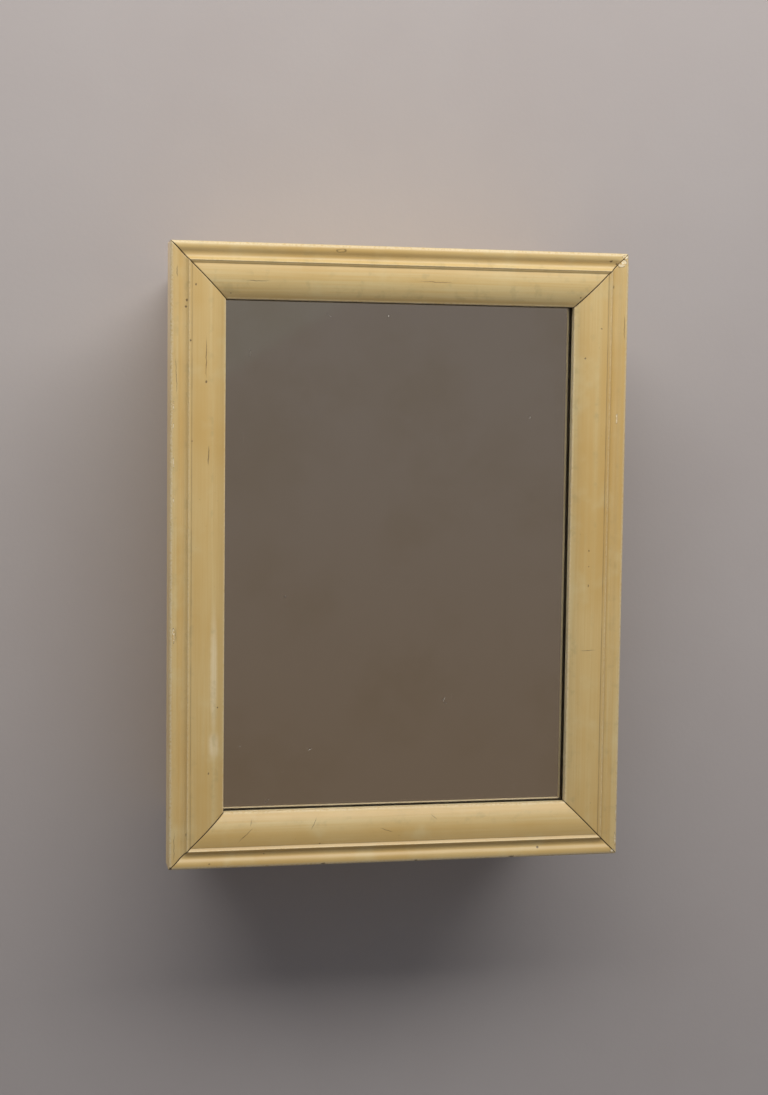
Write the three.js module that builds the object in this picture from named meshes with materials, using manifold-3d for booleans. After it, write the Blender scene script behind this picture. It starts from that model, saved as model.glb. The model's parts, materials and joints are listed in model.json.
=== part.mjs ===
// A small wall-hung medicine cabinet: a shallow wooden carcass with two fixed shelves, and an
// overlay door made of a mitred moulding around a mirror, on two butt hinges and a magnetic catch.
//
// Millimetres. +X is to the right of someone who faces the mirror, +Y points into the wall and +Z
// is up. The origin is the centre of the cabinet's back, on the wall. The front faces -Y.
import * as THREE from "three";
import { mergeVertices } from "three/addons/utils/BufferGeometryUtils.js";
import Module from "manifold-3d";

const wasm = await Module();
wasm.setup();

// ---------------------------------------------------------------- driving dimensions

const GAP = 0.3; // between pieces that touch on the real cabinet

// Door
const DOOR_WIDTH = 300;
const DOOR_HEIGHT = 400;
const MOULDING_WIDTH = 35.5; // outer edge to sight edge
const CROWN = 23; // back face to the highest line of the moulding
const SIGHT_EDGE = 16.9; // back face to the front of the lip
const REBATE_DEPTH = 11.6; // back face to the back of the lip
const REBATE_WIDTH = 5.5; // how far the lip reaches over the glass
const GLASS_THICKNESS = 4;
const BACKING_THICKNESS = 3;
const BEAD_WIDTH = 5.7;
const GLASS_PLAY = 0.5; // between the glass's edge and the rebate's wall
const GLASS_TO_LIP = 0.4;
const DOOR_GAP = 1; // door back to carcass front

// Carcass
const OVERHANG = 12; // of the door past the carcass, all round
const BOARD = 10; // thickness of the sides, top and bottom
const CARCASS_DEPTH = 110;
const CORNER_REBATE = 5; // half of a board's thickness
const PANEL = 4; // back panel
const SHELF_THICKNESS = 9;
const SHELF_SETBACK = 10; // shelf front to carcass front
const SHELF_HOUSING = 4; // depth of the grooves in the sides
const SHELF_HEIGHTS = { upper: 56, lower: -62 }; // centres, above the middle of the cabinet

// Hanging hardware
const RAIL_HEIGHT = 40;
const RAIL_THICKNESS = 14;
const WALL_SCREW_X = 90; // either side of the middle
const WALL_SCREW_HOLE = 2.3; // radius
const SCREW_CUP = { outer: 6.5, lip: 3.9, thickness: 0.8, height: 2.2, rim: 0.4 }; // radii, then lengths

// Hinges
const HINGE_Z = 135; // either side of the middle
const HINGE_LENGTH = 38;
const LEAF_WIDTH = 11; // hinge axis to the edge of the leaf
const LEAF_THICKNESS = 1.2;
const LEAF_OFFSET = 0.3; // hinge axis to the near face of a leaf
const KNUCKLE_RADIUS = 2.8;
const KNUCKLES = 5;
const PIN_RADIUS = 1.2;
const HINGE_SCREW = { across: 7.5, along: 12 }; // from the hinge axis and from the hinge's middle

// Fasteners: head and shank radii, and length overall
const SMALL_SCREW = { head: 2.2, shank: 1.1, length: 12, slot: 0.5 };
const CATCH_SCREW = { head: 2.2, shank: 1.1, length: 9, slot: 0.5 };
const SCREW_POINT = 2.5;
const SCREW_SLOT_DEPTH = 0.6;
const NAIL = { head: 1.7, headHeight: 0.9, shank: 0.9, length: 26, point: 2, sunk: 0.4 };
const NAIL_Y = [-28, -84];
const CORRUGATED = { length: 24, depth: 9, sunk: 0.2, thickness: 0.8, wave: 1.1, crests: 3, fromCorner: 15 };

// Catch
const CATCH = { width: 9, block: 24, ears: 44, earThickness: 3, setback: 1.8, depth: 13.2, wall: 0.8 };
const CATCH_SCREW_SETBACK = 6.6; // catch front to the screws
const MAGNET = { width: 3.6, height: 20, pocket: 10, play: 0.5 };
const POLE = { thickness: 1.2, proud: 1, play: 0.4 };
const STRIKE = { width: 7.6, height: 32, thickness: 1.2, corner: 1.5, screw: 12 };

// Worked out from the above
const HALF_W = DOOR_WIDTH / 2;
const HALF_H = DOOR_HEIGHT / 2;
const CASE_X = HALF_W - OVERHANG; // outer face of a side
const CASE_Z = HALF_H - OVERHANG; // outer face of the top
const INNER_X = CASE_X - BOARD;
const INNER_Z = CASE_Z - BOARD;
const HINGE_X = -(CASE_X + KNUCKLE_RADIUS + GAP);
const HINGE_Y = -CARCASS_DEPTH - DOOR_GAP / 2;
const DOOR_BACK = -CARCASS_DEPTH - DOOR_GAP;
const RAIL_Z = INNER_Z - GAP - RAIL_HEIGHT / 2;
const RAIL_FRONT = -PANEL - GAP - RAIL_THICKNESS;
const KNUCKLE_LENGTH = HINGE_LENGTH / KNUCKLES;
const ROUND = 16; // sides of a small cylinder
const NAIL_ROUND = 10;
const ARC = 3; // curve segments of small rounded corners
const MARGIN = 1; // how far a cutting tool runs past the face it enters

// ---------------------------------------------------------------- materials

const finish = (color, roughness, metalness = 0) =>
  new THREE.MeshStandardMaterial({ color, roughness, metalness });
const CREAM_PAINT = finish(0xc8ab74, 0.45);
const INSIDE_PAINT = finish(0xd6c396, 0.55);
const PLYWOOD = finish(0xb58b56, 0.75);
const HARDBOARD = finish(0x6f4f32, 0.8);
const BARE_WOOD = finish(0xc09a66, 0.75);
const MIRROR = finish(0x9a958c, 0.05, 1);
const BRASS = finish(0xb08d4a, 0.35, 1);
const STEEL = finish(0x8e8f91, 0.4, 1);
const MAGNET_IRON = finish(0x3a3836, 0.6);
const CATCH_BODY = finish(0xd8d2c4, 0.5);

// ---------------------------------------------------------------- solids

function solidOf(geometry, matrix) {
  const source = geometry.index ? geometry.toNonIndexed() : geometry;
  const bare = new THREE.BufferGeometry()
    .setAttribute("position", source.getAttribute("position").clone())
    .applyMatrix4(matrix);
  const merged = mergeVertices(bare, 1e-4);
  const mesh = new wasm.Mesh({
    numProp: 3,
    vertProperties: merged.attributes.position.array,
    triVerts: new Uint32Array(merged.index.array),
  });
  return new wasm.Manifold(mesh);
}

function geometryOf(solid) {
  const mesh = solid.getMesh();
  const geometry = new THREE.BufferGeometry();
  geometry.setAttribute("position", new THREE.BufferAttribute(mesh.vertProperties, 3));
  geometry.setIndex(new THREE.BufferAttribute(mesh.triVerts, 1));
  geometry.computeVertexNormals();
  return geometry;
}

// Joins or cuts a mesh with others that stand in the same group; the mesh keeps its own frame.
function shapeWith(mesh, others, operation) {
  mesh.updateMatrix();
  const toMesh = mesh.matrix.clone().invert();
  let solid = solidOf(mesh.geometry, new THREE.Matrix4());
  for (const other of others) {
    other.updateMatrix();
    solid = solid[operation](solidOf(other.geometry, toMesh.clone().multiply(other.matrix)));
  }
  mesh.geometry = geometryOf(solid);
  return mesh;
}
const cut = (mesh, ...tools) => shapeWith(mesh, tools.flat(), "subtract");
const join = (mesh, ...others) => shapeWith(mesh, others.flat(), "add");

function piece(name, geometry, material, position = [0, 0, 0], rotation = [0, 0, 0]) {
  const mesh = new THREE.Mesh(geometry, material);
  mesh.name = name;
  mesh.position.set(...position);
  mesh.rotation.set(...rotation);
  return mesh;
}

// An unnamed block between two values of x, of y and of z, for boards and for cutting tools.
function block([x0, x1], [y0, y1], [z0, z1]) {
  const geometry = new THREE.BoxGeometry(x1 - x0, y1 - y0, z1 - z0);
  return piece("", geometry, null, [(x0 + x1) / 2, (y0 + y1) / 2, (z0 + z1) / 2]);
}

function board(name, x, y, z, material) {
  const mesh = block(x, y, z);
  mesh.name = name;
  mesh.material = material;
  return mesh;
}

// A round bar about the Z axis from its radii and heights, closed on the axis at both ends.
function lathe(outline, sides = ROUND) {
  return new THREE.LatheGeometry(
    outline.map(([radius, z]) => new THREE.Vector2(radius, z)),
    sides,
  ).rotateX(Math.PI / 2);
}

function roundedRectangle(width, height, corner) {
  const x = width / 2;
  const y = height / 2;
  const shape = new THREE.Shape();
  shape.moveTo(-x + corner, -y);
  shape.absarc(x - corner, -y + corner, corner, -Math.PI / 2, 0);
  shape.absarc(x - corner, y - corner, corner, 0, Math.PI / 2);
  shape.absarc(-x + corner, y - corner, corner, Math.PI / 2, Math.PI);
  shape.absarc(-x + corner, -y + corner, corner, Math.PI, 1.5 * Math.PI);
  return shape;
}

const extrude = (shape, depth, curveSegments = ARC) =>
  new THREE.ExtrudeGeometry(shape, { depth, bevelEnabled: false, curveSegments });

// A flat plate drawn in X and Z, from y = 0 back to y = -thickness.
const plateXZ = (shape, thickness, curveSegments) =>
  extrude(shape, thickness, curveSegments).rotateX(Math.PI / 2);

// ---------------------------------------------------------------- fasteners

// Each fastener stands along Z with the top of its head at the origin and its point at -Z.
const HEAD_DOWN_TO_FRONT = [-Math.PI / 2, 0, 0]; // head faces +Y, point towards -Y
const HEAD_TO_FRONT = [Math.PI / 2, 0, 0]; // head faces -Y, point towards +Y
const HEAD_TO_LEFT = [0, -Math.PI / 2, 0]; // head faces -X
const HEAD_TO_RIGHT = [0, Math.PI / 2, 0]; // head faces +X

// Outline of a countersunk wood screw, or of the room it needs when `room` is added all round.
function screwOutline({ head, shank, length }, room = 0) {
  const cone = head - shank;
  const above = room > 0 ? MARGIN : 0;
  return [
    [0, -length - room],
    [shank + room, -length + SCREW_POINT],
    [shank + room, -cone],
    [head + room, 0],
    ...(above ? [[head + room, above]] : []),
    [0, above],
  ];
}

function screw(name, size, material, position, rotation) {
  const mesh = piece(name, lathe(screwOutline(size)), material, position, rotation);
  const slot = block([-size.head - MARGIN, size.head + MARGIN], [-size.slot / 2, size.slot / 2], [
    -SCREW_SLOT_DEPTH,
    MARGIN,
  ]);
  const head = piece("", mesh.geometry, null);
  mesh.geometry = cut(head, slot).geometry;
  return mesh;
}
const screwRoom = (size, position, rotation) =>
  piece("", lathe(screwOutline(size, GAP)), null, position, rotation);

function nailOutline(room = 0) {
  const above = room > 0 ? MARGIN : 0;
  return [
    [0, -NAIL.length - room],
    [NAIL.shank + room, -NAIL.length + NAIL.point],
    [NAIL.shank + room, -NAIL.headHeight - room],
    [NAIL.head + room, -NAIL.headHeight - room],
    [NAIL.head + room, above],
    [0, above],
  ];
}
const nail = (name, position, rotation) =>
  piece(name, lathe(nailOutline(), NAIL_ROUND), STEEL, position, rotation);
const nailRoom = (position, rotation) =>
  piece("", lathe(nailOutline(GAP), NAIL_ROUND), null, position, rotation);

// ---------------------------------------------------------------- door

// Section of the frame moulding: x runs in from the outer edge to the sight edge, y runs forward
// from the back face. A rounded outer bead, a cove that climbs to a sharp ridge, a small step down,
// then a wide crowned cushion that falls to the lip over the glass.
function mouldingSection() {
  const below = (distance) => CROWN - distance;
  const arris = 0.8;
  const stepFoot = { x: 13.7, y: below(1.7) };
  const cushion = { x: 20.4, y: below(0.5) };
  const section = new THREE.Shape();
  section.moveTo(0, 0);
  section.lineTo(0, below(3.2));
  section.bezierCurveTo(0, below(1.9), 1, below(1.1), 2.6, below(1));
  section.bezierCurveTo(4.2, below(0.9), 5.2, below(1.9), 6.2, below(2.75));
  section.bezierCurveTo(7.2, below(3.6), 8.2, below(4), 9.2, below(3.3));
  section.bezierCurveTo(10.2, below(2.6), 10.9, below(0.9), 11.4, below(0.3));
  section.quadraticCurveTo(11.8, CROWN + 0.35, 12.3, below(0.4));
  section.lineTo(stepFoot.x, stepFoot.y);
  crownedArc(section, cushion, stepFoot, 6);
  crownedArc(section, cushion, { x: MOULDING_WIDTH - arris, y: SIGHT_EDGE + arris / 2 }, 10);
  section.quadraticCurveTo(MOULDING_WIDTH, SIGHT_EDGE, MOULDING_WIDTH, SIGHT_EDGE - arris);
  section.lineTo(MOULDING_WIDTH, REBATE_DEPTH);
  section.lineTo(MOULDING_WIDTH - REBATE_WIDTH, REBATE_DEPTH);
  section.lineTo(MOULDING_WIDTH - REBATE_WIDTH, 0);
  section.closePath();
  return section;
}

// Adds the arc of a circle that is level at its crown and passes through a lower point to one side.
// Left of the crown it is drawn up to the crown, right of it down from the crown.
function crownedArc(shape, crown, foot, steps) {
  const across = foot.x - crown.x;
  const down = crown.y - foot.y;
  const radius = (across ** 2 + down ** 2) / (2 * down);
  const sweep = Math.asin(across / radius);
  for (let i = 1; i <= steps; i++) {
    const angle = across < 0 ? sweep * (1 - i / steps) : (sweep * i) / steps;
    shape.lineTo(crown.x + radius * Math.sin(angle), crown.y - radius * (1 - Math.cos(angle)));
  }
}

// Section of a glazing bead, from the rebate's wall inwards, with its inner back corner rounded.
function beadSection() {
  const gaps = GLASS_TO_LIP + 2 * GAP;
  const height = REBATE_DEPTH - GLASS_THICKNESS - BACKING_THICKNESS - gaps;
  const round = 2;
  const section = new THREE.Shape();
  section.moveTo(0, 0);
  section.lineTo(0, height);
  section.lineTo(BEAD_WIDTH, height);
  section.lineTo(BEAD_WIDTH, round);
  section.absarc(BEAD_WIDTH - round, round, round, 0, -Math.PI / 2, true);
  section.closePath();
  return section;
}

// A length of moulding along X with both ends mitred. Its outer edge is at z = 0 and its back at
// y = 0; `outer` is its length along the outer edge.
function mitredLength(section, outer, curveSegments) {
  const geometry = extrude(section, 1, curveSegments);
  const place = geometry.getAttribute("position");
  const mitreGap = GAP / Math.SQRT2;
  for (let i = 0; i < place.count; i++) {
    const inwards = place.getX(i);
    const forwards = place.getY(i);
    const end = outer / 2 - inwards - mitreGap;
    place.setXYZ(i, place.getZ(i) > 0.5 ? -end : end, -forwards, -inwards);
  }
  return geometry;
}

// Four mitred lengths around a rectangle of the given outer size.
function mitredFrame(names, section, width, height, material, curveSegments) {
  const [top, bottom, left, right] = names;
  const across = mitredLength(section, width, curveSegments);
  const upright = mitredLength(section, height, curveSegments);
  return [
    piece(top, across, material, [0, 0, height / 2]),
    piece(bottom, across, material, [0, 0, -height / 2], [0, Math.PI, 0]),
    piece(left, upright, material, [-width / 2, 0, 0], [0, -Math.PI / 2, 0]),
    piece(right, upright, material, [width / 2, 0, 0], [0, Math.PI / 2, 0]),
  ];
}

// A corrugated fastener's outline, drawn across the mitre, widened by `room` all round.
function corrugatedShape(room = 0) {
  const half = CORRUGATED.length / 2 + room;
  const thick = CORRUGATED.thickness / 2 + room;
  const turns = (2 * Math.PI * CORRUGATED.crests) / CORRUGATED.length;
  const wave = (x) => CORRUGATED.wave * Math.sin(turns * x);
  const steps = 6 * CORRUGATED.crests;
  const edge = (offset) =>
    Array.from({ length: steps + 1 }, (_, i) => {
      const x = -half + (2 * half * i) / steps;
      return new THREE.Vector2(x, wave(x) + offset);
    });
  return new THREE.Shape([...edge(-thick), ...edge(thick).reverse()]);
}

function corrugatedFastener(name, sideX, sideZ, room = 0) {
  const depth = CORRUGATED.depth + room + (room ? MARGIN : 0);
  const back = room ? MARGIN : -CORRUGATED.sunk;
  const geometry = plateXZ(corrugatedShape(room), depth);
  const turn = sideX * sideZ * (Math.PI / 4);
  const x = sideX * (HALF_W - CORRUGATED.fromCorner);
  const z = sideZ * (HALF_H - CORRUGATED.fromCorner);
  return piece(name, geometry, STEEL, [x, back, z], [0, turn, 0]);
}
const CORNERS = [
  ["top_left", -1, 1],
  ["top_right", 1, 1],
  ["bottom_left", -1, -1],
  ["bottom_right", 1, -1],
];

const strikeX = INNER_X - CATCH.width / 2;
const strikeScrewPlaces = [
  ["upper", STRIKE.screw],
  ["lower", -STRIKE.screw],
].map(([where, z]) => [where, [strikeX, GAP + STRIKE.thickness, z]]);

function strikePlate() {
  const shape = roundedRectangle(STRIKE.width, STRIKE.height, STRIKE.corner);
  const plate = piece("catch_strike_plate", plateXZ(shape, STRIKE.thickness), STEEL, [
    strikeX,
    GAP + STRIKE.thickness,
    0,
  ]);
  return cut(
    plate,
    strikeScrewPlaces.map(([, place]) => screwRoom(SMALL_SCREW, place, HEAD_DOWN_TO_FRONT)),
  );
}

// Everything here stands in the door's frame, with y = 0 on the door's back face.
function buildDoor() {
  const door = new THREE.Group();
  door.position.set(0, DOOR_BACK, 0);
  const axis = [HINGE_X, HINGE_Y - DOOR_BACK];

  const frame = mitredFrame(
    ["door_rail_top", "door_rail_bottom", "door_stile_left", "door_stile_right"],
    mouldingSection(),
    DOOR_WIDTH,
    DOOR_HEIGHT,
    CREAM_PAINT,
    5,
  );
  const [, , left, right] = frame;
  const cornerSlots = CORNERS.map(([, x, z]) => corrugatedFastener("", x, z, GAP));
  frame.forEach((member) => cut(member, cornerSlots));
  cut(
    right,
    strikeScrewPlaces.map(([, place]) => screwRoom(SMALL_SCREW, place, HEAD_DOWN_TO_FRONT)),
  );

  const rebateX = HALF_W - MOULDING_WIDTH + REBATE_WIDTH;
  const rebateZ = HALF_H - MOULDING_WIDTH + REBATE_WIDTH;
  const sheet = (name, back, thickness, material) =>
    board(
      name,
      [-rebateX + GLASS_PLAY, rebateX - GLASS_PLAY],
      [-back - thickness, -back],
      [-rebateZ + GLASS_PLAY, rebateZ - GLASS_PLAY],
      material,
    );
  const glassBack = REBATE_DEPTH - GLASS_THICKNESS - GLASS_TO_LIP;
  door.add(
    ...frame,
    sheet("mirror_glass", glassBack, GLASS_THICKNESS, MIRROR),
    sheet("mirror_backing_board", glassBack - BACKING_THICKNESS - GAP, BACKING_THICKNESS, HARDBOARD),
    ...mitredFrame(
      ["glazing_bead_top", "glazing_bead_bottom", "glazing_bead_left", "glazing_bead_right"],
      beadSection(),
      2 * (rebateX - GAP),
      2 * (rebateZ - GAP),
      BARE_WOOD,
      ARC,
    ),
    ...CORNERS.map(([name, x, z]) => corrugatedFastener("mitre_fastener_" + name, x, z)),
    strikePlate(),
    ...strikeScrewPlaces.map(([where, place]) =>
      screw("strike_screw_" + where, SMALL_SCREW, STEEL, place, HEAD_DOWN_TO_FRONT),
    ),
  );

  for (const [where, side] of HINGES) {
    const z = side * HINGE_Z;
    const [x, y] = axis;
    const reach = KNUCKLE_RADIUS + 2 * GAP;
    cut(
      left,
      block([x - reach, x + reach], [y - reach, MARGIN], [z - hingeRoom, z + hingeRoom]),
      block(
        [x, x + LEAF_WIDTH + GAP],
        [y - LEAF_OFFSET - LEAF_THICKNESS - GAP, MARGIN],
        [z - HINGE_LENGTH / 2 - GAP, z + HINGE_LENGTH / 2 + GAP],
      ),
      hingeScrewPlaces(-1).map(([, [sx, sy, sz]]) =>
        screwRoom(SMALL_SCREW, [x + sx, y + sy, z + sz], HEAD_DOWN_TO_FRONT),
      ),
    );
    const hinge = new THREE.Group();
    hinge.position.set(x, y, z);
    hinge.add(
      hingeLeaf(`hinge_${where}_door_leaf`, -1, [1, 3]),
      ...hingeScrewPlaces(-1).map(([number, place]) =>
        screw(`hinge_${where}_door_screw_${number}`, SMALL_SCREW, BRASS, place, HEAD_DOWN_TO_FRONT),
      ),
    );
    door.add(hinge);
  }
  return door;
}

// ---------------------------------------------------------------- hinges

const HINGES = [
  ["upper", 1],
  ["lower", -1],
];
const hingeRoom = HINGE_LENGTH / 2 + 2; // leaves space for the pin's heads

// Screws of one leaf in the hinge's frame, whose Z axis is the pin. `side` is 1 for the carcass.
const hingeScrewPlaces = (side) =>
  [
    ["1", HINGE_SCREW.along],
    ["2", -HINGE_SCREW.along],
  ].map(([number, z]) => [number, [HINGE_SCREW.across, side * LEAF_OFFSET, z]]);

function knuckle(index) {
  const ring = new THREE.Shape();
  ring.absarc(0, 0, KNUCKLE_RADIUS, 0, 2 * Math.PI);
  const bore = new THREE.Path();
  bore.absarc(0, 0, PIN_RADIUS + GAP, 0, 2 * Math.PI, true);
  ring.holes.push(bore);
  const z = -HINGE_LENGTH / 2 + index * KNUCKLE_LENGTH + GAP / 2;
  return piece("", extrude(ring, KNUCKLE_LENGTH - GAP, ROUND / 2), null, [0, 0, z]);
}

function hingeLeaf(name, side, knuckles) {
  const near = side * LEAF_OFFSET;
  const far = side * (LEAF_OFFSET + LEAF_THICKNESS);
  const y = [Math.min(near, far), Math.max(near, far)];
  const clearOfKnuckles = KNUCKLE_RADIUS + GAP;
  const leaf = board(
    name,
    [clearOfKnuckles, LEAF_WIDTH],
    y,
    [-HINGE_LENGTH / 2, HINGE_LENGTH / 2],
    BRASS,
  );
  const tabs = knuckles.map((index) => {
    const z = -HINGE_LENGTH / 2 + index * KNUCKLE_LENGTH;
    const x = [PIN_RADIUS + 2 * GAP, clearOfKnuckles + GAP];
    return block(x, y, [z + GAP / 2, z + KNUCKLE_LENGTH - GAP / 2]);
  });
  join(leaf, tabs, knuckles.map(knuckle));
  const rotation = side > 0 ? HEAD_TO_FRONT : HEAD_DOWN_TO_FRONT;
  return cut(
    leaf,
    hingeScrewPlaces(side).map(([, place]) => screwRoom(SMALL_SCREW, place, rotation)),
  );
}

function hingePin(name) {
  const end = HINGE_LENGTH / 2 + GAP;
  const cap = { radius: 1.9, flat: 1.33, height: 1, shoulder: 0.8 };
  return piece(
    name,
    lathe([
      [0, -end - cap.height],
      [cap.flat, -end - cap.shoulder],
      [cap.radius, -end],
      [PIN_RADIUS, -end],
      [PIN_RADIUS, end],
      [cap.radius, end],
      [cap.flat, end + cap.shoulder],
      [0, end + cap.height],
    ]),
    BRASS,
  );
}

// ---------------------------------------------------------------- carcass

const shelfZ = Object.entries(SHELF_HEIGHTS);
const CASE_ENDS = [
  ["top", 1],
  ["bottom", -1],
];

function sideNails(sideX) {
  const rotation = sideX > 0 ? HEAD_TO_RIGHT : HEAD_TO_LEFT;
  const side = sideX > 0 ? "right" : "left";
  return CASE_ENDS.flatMap(([end, up]) =>
    NAIL_Y.map((y, i) => [
      `corner_nail_${end}_${side}_${i + 1}`,
      [sideX * (CASE_X - NAIL.sunk), y, up * (CASE_Z - BOARD / 2)],
      rotation,
    ]),
  );
}

const allNails = () => [-1, 1].flatMap(sideNails);

function side(name, sideX) {
  const outwards = (near, far) => [sideX * near, sideX * far].sort((a, b) => a - b);
  const x = outwards(INNER_X, CASE_X);
  const upright = board(name, x, [-CARCASS_DEPTH, 0], [-CASE_Z, CASE_Z], CREAM_PAINT);
  const rebate = outwards(INNER_X - MARGIN, INNER_X + CORNER_REBATE);
  const tools = CASE_ENDS.map(([, up]) => {
    const z = [up * (INNER_Z - GAP), up * (CASE_Z + MARGIN)].sort((a, b) => a - b);
    return block(rebate, [-CARCASS_DEPTH - MARGIN, MARGIN], z);
  });
  tools.push(block(rebate, [-PANEL - GAP, MARGIN], [-CASE_Z - MARGIN, CASE_Z + MARGIN]));
  for (const [, z] of shelfZ) {
    const half = SHELF_THICKNESS / 2 + GAP;
    tools.push(
      block(
        outwards(INNER_X - MARGIN, INNER_X + SHELF_HOUSING),
        [-CARCASS_DEPTH + SHELF_SETBACK - GAP, MARGIN],
        [z - half, z + half],
      ),
    );
  }
  tools.push(...sideNails(sideX).map(([, place, rotation]) => nailRoom(place, rotation)));
  return cut(upright, tools);
}

function caseEnd(name, up) {
  const reach = INNER_X + CORNER_REBATE - GAP;
  const ordered = (a, b) => [up * a, up * b].sort((p, q) => p - q);
  const z = ordered(INNER_Z, CASE_Z);
  const rebate = ordered(INNER_Z - MARGIN, INNER_Z + CORNER_REBATE);
  return cut(
    board(name, [-reach, reach], [-CARCASS_DEPTH, 0], z, CREAM_PAINT),
    block([-reach - MARGIN, reach + MARGIN], [-PANEL - GAP, MARGIN], rebate),
    allNails().map(([, place, rotation]) => nailRoom(place, rotation)),
  );
}

// A shelf with a rounded front edge, drawn from the side and extruded along X.
function shelf(name, z) {
  const depth = CARCASS_DEPTH - SHELF_SETBACK - PANEL - GAP;
  const half = SHELF_THICKNESS / 2;
  const nose = 2.5;
  const outline = new THREE.Shape();
  outline.moveTo(0, -half);
  outline.lineTo(0, half);
  outline.lineTo(-depth + nose, half);
  outline.absarc(-depth + nose, half - nose, nose, Math.PI / 2, Math.PI);
  outline.absarc(-depth + nose, -half + nose, nose, Math.PI, 1.5 * Math.PI);
  outline.closePath();
  const length = 2 * (INNER_X + SHELF_HOUSING - GAP);
  // Extruding along Z, then turning Z to X and the outline's Y to Z.
  const geometry = extrude(outline, length)
    .translate(0, 0, -length / 2)
    .applyMatrix4(new THREE.Matrix4().makeBasis(axisY, axisZ, axisX));
  return piece(name, geometry, INSIDE_PAINT, [0, -PANEL - GAP, z]);
}
const axisX = new THREE.Vector3(1, 0, 0);
const axisY = new THREE.Vector3(0, 1, 0);
const axisZ = new THREE.Vector3(0, 0, 1);

// ---------------------------------------------------------------- hanging hardware

const WALL_SCREWS = [
  ["left", -WALL_SCREW_X],
  ["right", WALL_SCREW_X],
];
// A hole for each wall screw, right through the back panel and the hanging rail.
const wallScrewHoles = () =>
  WALL_SCREWS.map(([, x]) => {
    const length = PANEL + RAIL_THICKNESS + 2 * MARGIN + GAP;
    const hole = new THREE.CylinderGeometry(WALL_SCREW_HOLE, WALL_SCREW_HOLE, length, ROUND);
    return piece("", hole, null, [x, MARGIN - length / 2, RAIL_Z]);
  });

function backPanel() {
  const x = INNER_X + CORNER_REBATE - GAP;
  const z = INNER_Z + CORNER_REBATE - GAP;
  return cut(board("back_panel", [-x, x], [-PANEL, 0], [-z, z], PLYWOOD), wallScrewHoles());
}

function hangingRail() {
  const x = INNER_X - GAP;
  const z = [RAIL_Z - RAIL_HEIGHT / 2, RAIL_Z + RAIL_HEIGHT / 2];
  const rail = board("hanging_rail", [-x, x], [RAIL_FRONT, -PANEL - GAP], z, INSIDE_PAINT);
  return cut(rail, wallScrewHoles());
}

// A pressed dish that a wall screw's head sits in, open in the middle, on the rail's front.
function screwCup(name, x) {
  const { outer, lip, thickness, height, rim } = SCREW_CUP;
  const hole = WALL_SCREW_HOLE + GAP;
  const crest = lip + 1.4 * thickness;
  const ring = [
    [hole, 0],
    [hole + thickness, 0],
    [lip + thickness, height - thickness],
    [outer - rim, 0],
    [outer, rim],
    [crest, height],
    [lip, height],
    [hole, thickness],
    [hole, 0],
  ];
  return piece(name, lathe(ring), BRASS, [x, RAIL_FRONT - GAP, RAIL_Z], HEAD_TO_FRONT);
}

// ---------------------------------------------------------------- magnetic catch

const catchX = INNER_X - GAP - CATCH.width / 2;
const catchFront = -CARCASS_DEPTH + CATCH.setback;
const catchScrewPlaces = [
  ["upper", 1],
  ["lower", -1],
].map(([where, up]) => [
  where,
  [
    INNER_X - GAP - CATCH.earThickness,
    catchFront + CATCH_SCREW_SETBACK,
    (up * (CATCH.block + CATCH.ears)) / 4,
  ],
]);

function catchCase() {
  const right = INNER_X - GAP;
  const y = [catchFront, catchFront + CATCH.depth];
  const z = [-CATCH.block / 2, CATCH.block / 2];
  const body = board("catch_case", [right - CATCH.width, right], y, z, CATCH_BODY);
  const ears = block([right - CATCH.earThickness, right], y, [-CATCH.ears / 2, CATCH.ears / 2]);
  const cavity = block(
    [right - CATCH.width + CATCH.wall, right - CATCH.wall],
    [catchFront - MARGIN, catchFront + MAGNET.pocket],
    [-MAGNET.height / 2 - MAGNET.play, MAGNET.height / 2 + MAGNET.play],
  );
  return cut(
    join(body, ears),
    cavity,
    catchScrewPlaces.map(([, place]) => screwRoom(CATCH_SCREW, place, HEAD_TO_LEFT)),
  );
}

function catchInnards() {
  const back = catchFront + MAGNET.pocket - GAP;
  const z = [-MAGNET.height / 2, MAGNET.height / 2];
  const near = MAGNET.width / 2 + POLE.play;
  const far = near + POLE.thickness;
  const pole = (name, x0, x1) => board(name, [x0, x1], [catchFront - POLE.proud, back], z, STEEL);
  return [
    board(
      "catch_magnet",
      [catchX - MAGNET.width / 2, catchX + MAGNET.width / 2],
      [catchFront + GAP, back],
      z,
      MAGNET_IRON,
    ),
    pole("catch_pole_inner", catchX - far, catchX - near),
    pole("catch_pole_outer", catchX + near, catchX + far),
  ];
}

// ---------------------------------------------------------------- assembly

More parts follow.
